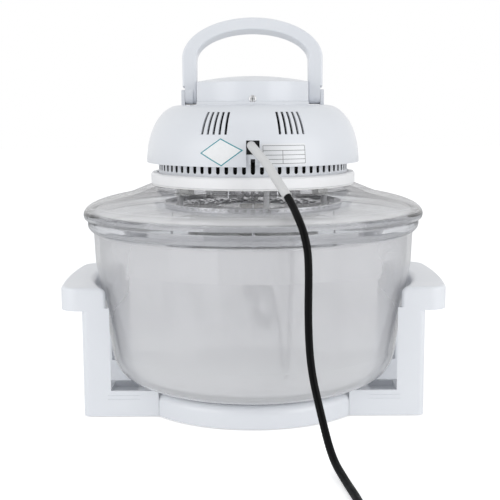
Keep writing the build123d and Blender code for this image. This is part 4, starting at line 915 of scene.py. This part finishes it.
def make_screws():
    """Every screw that shows, on the seats of its CAD stand-in."""
    cap_reach, cap_z = 61.2, 316.2
    cap_seats = [((0, side * cap_reach, cap_z), (0, side, 0)) for side in (-1, 1)]
    cross_screws("cap_screws_cross", cap_seats, (3.6, 1.8), (1.6, 9.0), "lid", "cap_screws")

    frame_reach, frame_z = 121.9, 12.0
    post_middle_y, tray_radius = 61.0, 125.0
    first = math.degrees(math.asin(post_middle_y / tray_radius))
    frame_seats = []
    for angle in (first, 180 - first, 180 + first, -first):
        x, y = math.cos(math.radians(angle)), math.sin(math.radians(angle))
        frame_seats.append(((frame_reach * x, frame_reach * y, frame_z), (-x, -y, 0)))
    cross_screws("frame_screws_cross", frame_seats, (4.0, 2.2), (2.0, 16.0), "stand", "frame_screws")

    flange_reach, flange_z = 93.2, 223.0
    flange_seats = []
    for quarter in range(4):
        turn = math.radians(45 + 90 * quarter)
        flange_seats.append(((flange_reach * math.cos(turn), flange_reach * math.sin(turn), flange_z), (0, 0, -1)))
    cross_screws("flange_screws_cross", flange_seats, (3.2, 1.8), (1.7, 11.9), "lid", "flange_screws")


def dress_knobs():
    """Raised dial marks on each knob's skirt, and fine grip ribs round its side."""
    mark = label_ink("dial_mark", (0.08, 0.08, 0.085))
    white = finishes["white_plastic"]
    knob_x, knob_z, marks_y, ribs_y = 31.0, 277.0, -116.6, -120.0
    mark_ring, rib_ring = (16.75, 30.0, 330.0, 16), (15.5, 0.0, 352.5, 48)
    mark_bar, rib_bar = (0.3, 1.7), (0.45, 5.2)
    for side, body in ((-1, "timer_knob"), (1, "thermostat_knob")):
        x = side * knob_x
        ring_of_bars(body + "_marks", (x, marks_y, knob_z), mark_ring, mark_bar, False, mark, body)
        ring_of_bars(body + "_ribs", (x, ribs_y, knob_z), rib_ring, rib_bar, True, white, body)


# ---------------------------------------------------------------- mains lead
floor_z = 3.6                    # heights, places and radii of the route are in millimetres
cord_diameter = 0.007
hanging_route = [
    (-30.8, 157.0, 229.1), (-33.7, 161.6, 224.7), (-40.5, 180.0, 209.8), (-44.5, 185.5, 198.6),
    (-47.7, 187.5, 183.5), (-48.5, 188.0, 163.0), (-48.0, 187.0, 120.0), (-50.5, 188.5, 78.0),
    (-59.0, 199.0, 40.0), (-67.0, 223.0, 9.0), (-75.0, 262.0, floor_z), (-81.5, 302.0, floor_z),
    (-84.5, 338.0, floor_z),
]
coil_center = (-40.0, 376.0)
coil_outer = 42.0
coil_inner = 35.0
coil_upper_z = 10.6
coil_start_deg = 192.0
coil_end_deg = 90.0
coil_full_turns = 3
move_in_deg = (330.0, 400.0)     # degrees swept while the route moves from the outer turn to the inner one
move_up_deg = (690.0, 760.0)
move_out_deg = (1020.0, 1090.0)
points_per_turn = 16
relief_start = (-22.5, 418.0, 12.6)


def eased(value, start, end):
    """0 before start, 1 after end, and a smooth rise between them."""
    t = min(max((value - start) / (end - start), 0.0), 1.0)
    return t * t * (3 - 2 * t)


def coil_route():
    """The put-away length: a lower outer and inner turn, then an upper inner and outer one."""
    swept = coil_start_deg - coil_end_deg + 360.0 * coil_full_turns
    count = round(swept / 360.0 * points_per_turn)
    route = []
    for step in range(count + 1):
        turned = swept * step / count
        angle = math.radians(coil_start_deg - turned)
        inward = eased(turned, *move_in_deg) - eased(turned, *move_out_deg)
        upward = eased(turned, *move_up_deg)
        radius = coil_outer + (coil_inner - coil_outer) * inward
        height = floor_z + (coil_upper_z - floor_z) * upward
        center_x, center_y = coil_center
        route.append((center_x + radius * math.cos(angle), center_y + radius * math.sin(angle), height))
    return route


def mains_lead():
    """The black lead: down behind the oven, along the floor and into its coil, as one spline."""
    route = hanging_route + coil_route() + [relief_start]
    curve = bpy.data.curves.new("power_lead", "CURVE")
    curve.dimensions = "3D"
    curve.bevel_depth = cord_diameter / 2
    curve.bevel_resolution = 6
    curve.resolution_u = 8
    curve.use_fill_caps = True
    spline = curve.splines.new("NURBS")
    spline.points.add(len(route) - 1)
    for point, place in zip(spline.points, route):
        point.co = (*(value * MM for value in place), 1.0)
    spline.order_u = 3
    spline.use_endpoint_u = True
    curve.materials.append(black_lead)
    lead = bpy.data.objects.new("power_lead", curve)
    bpy.context.scene.collection.objects.link(lead)
    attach(lead, "lid")
    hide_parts("power_cord", "cord_coil")
    return lead


make_camera()
make_lights()
make_dark_cloth()
make_floor()
dress_nodes()
vent_shade_sheet()
hammered_floor()
lamp_filament()
make_labels()
make_screws()
dress_knobs()
lead = mains_lead()

bpy.context.scene.view_settings.view_transform = "Standard"
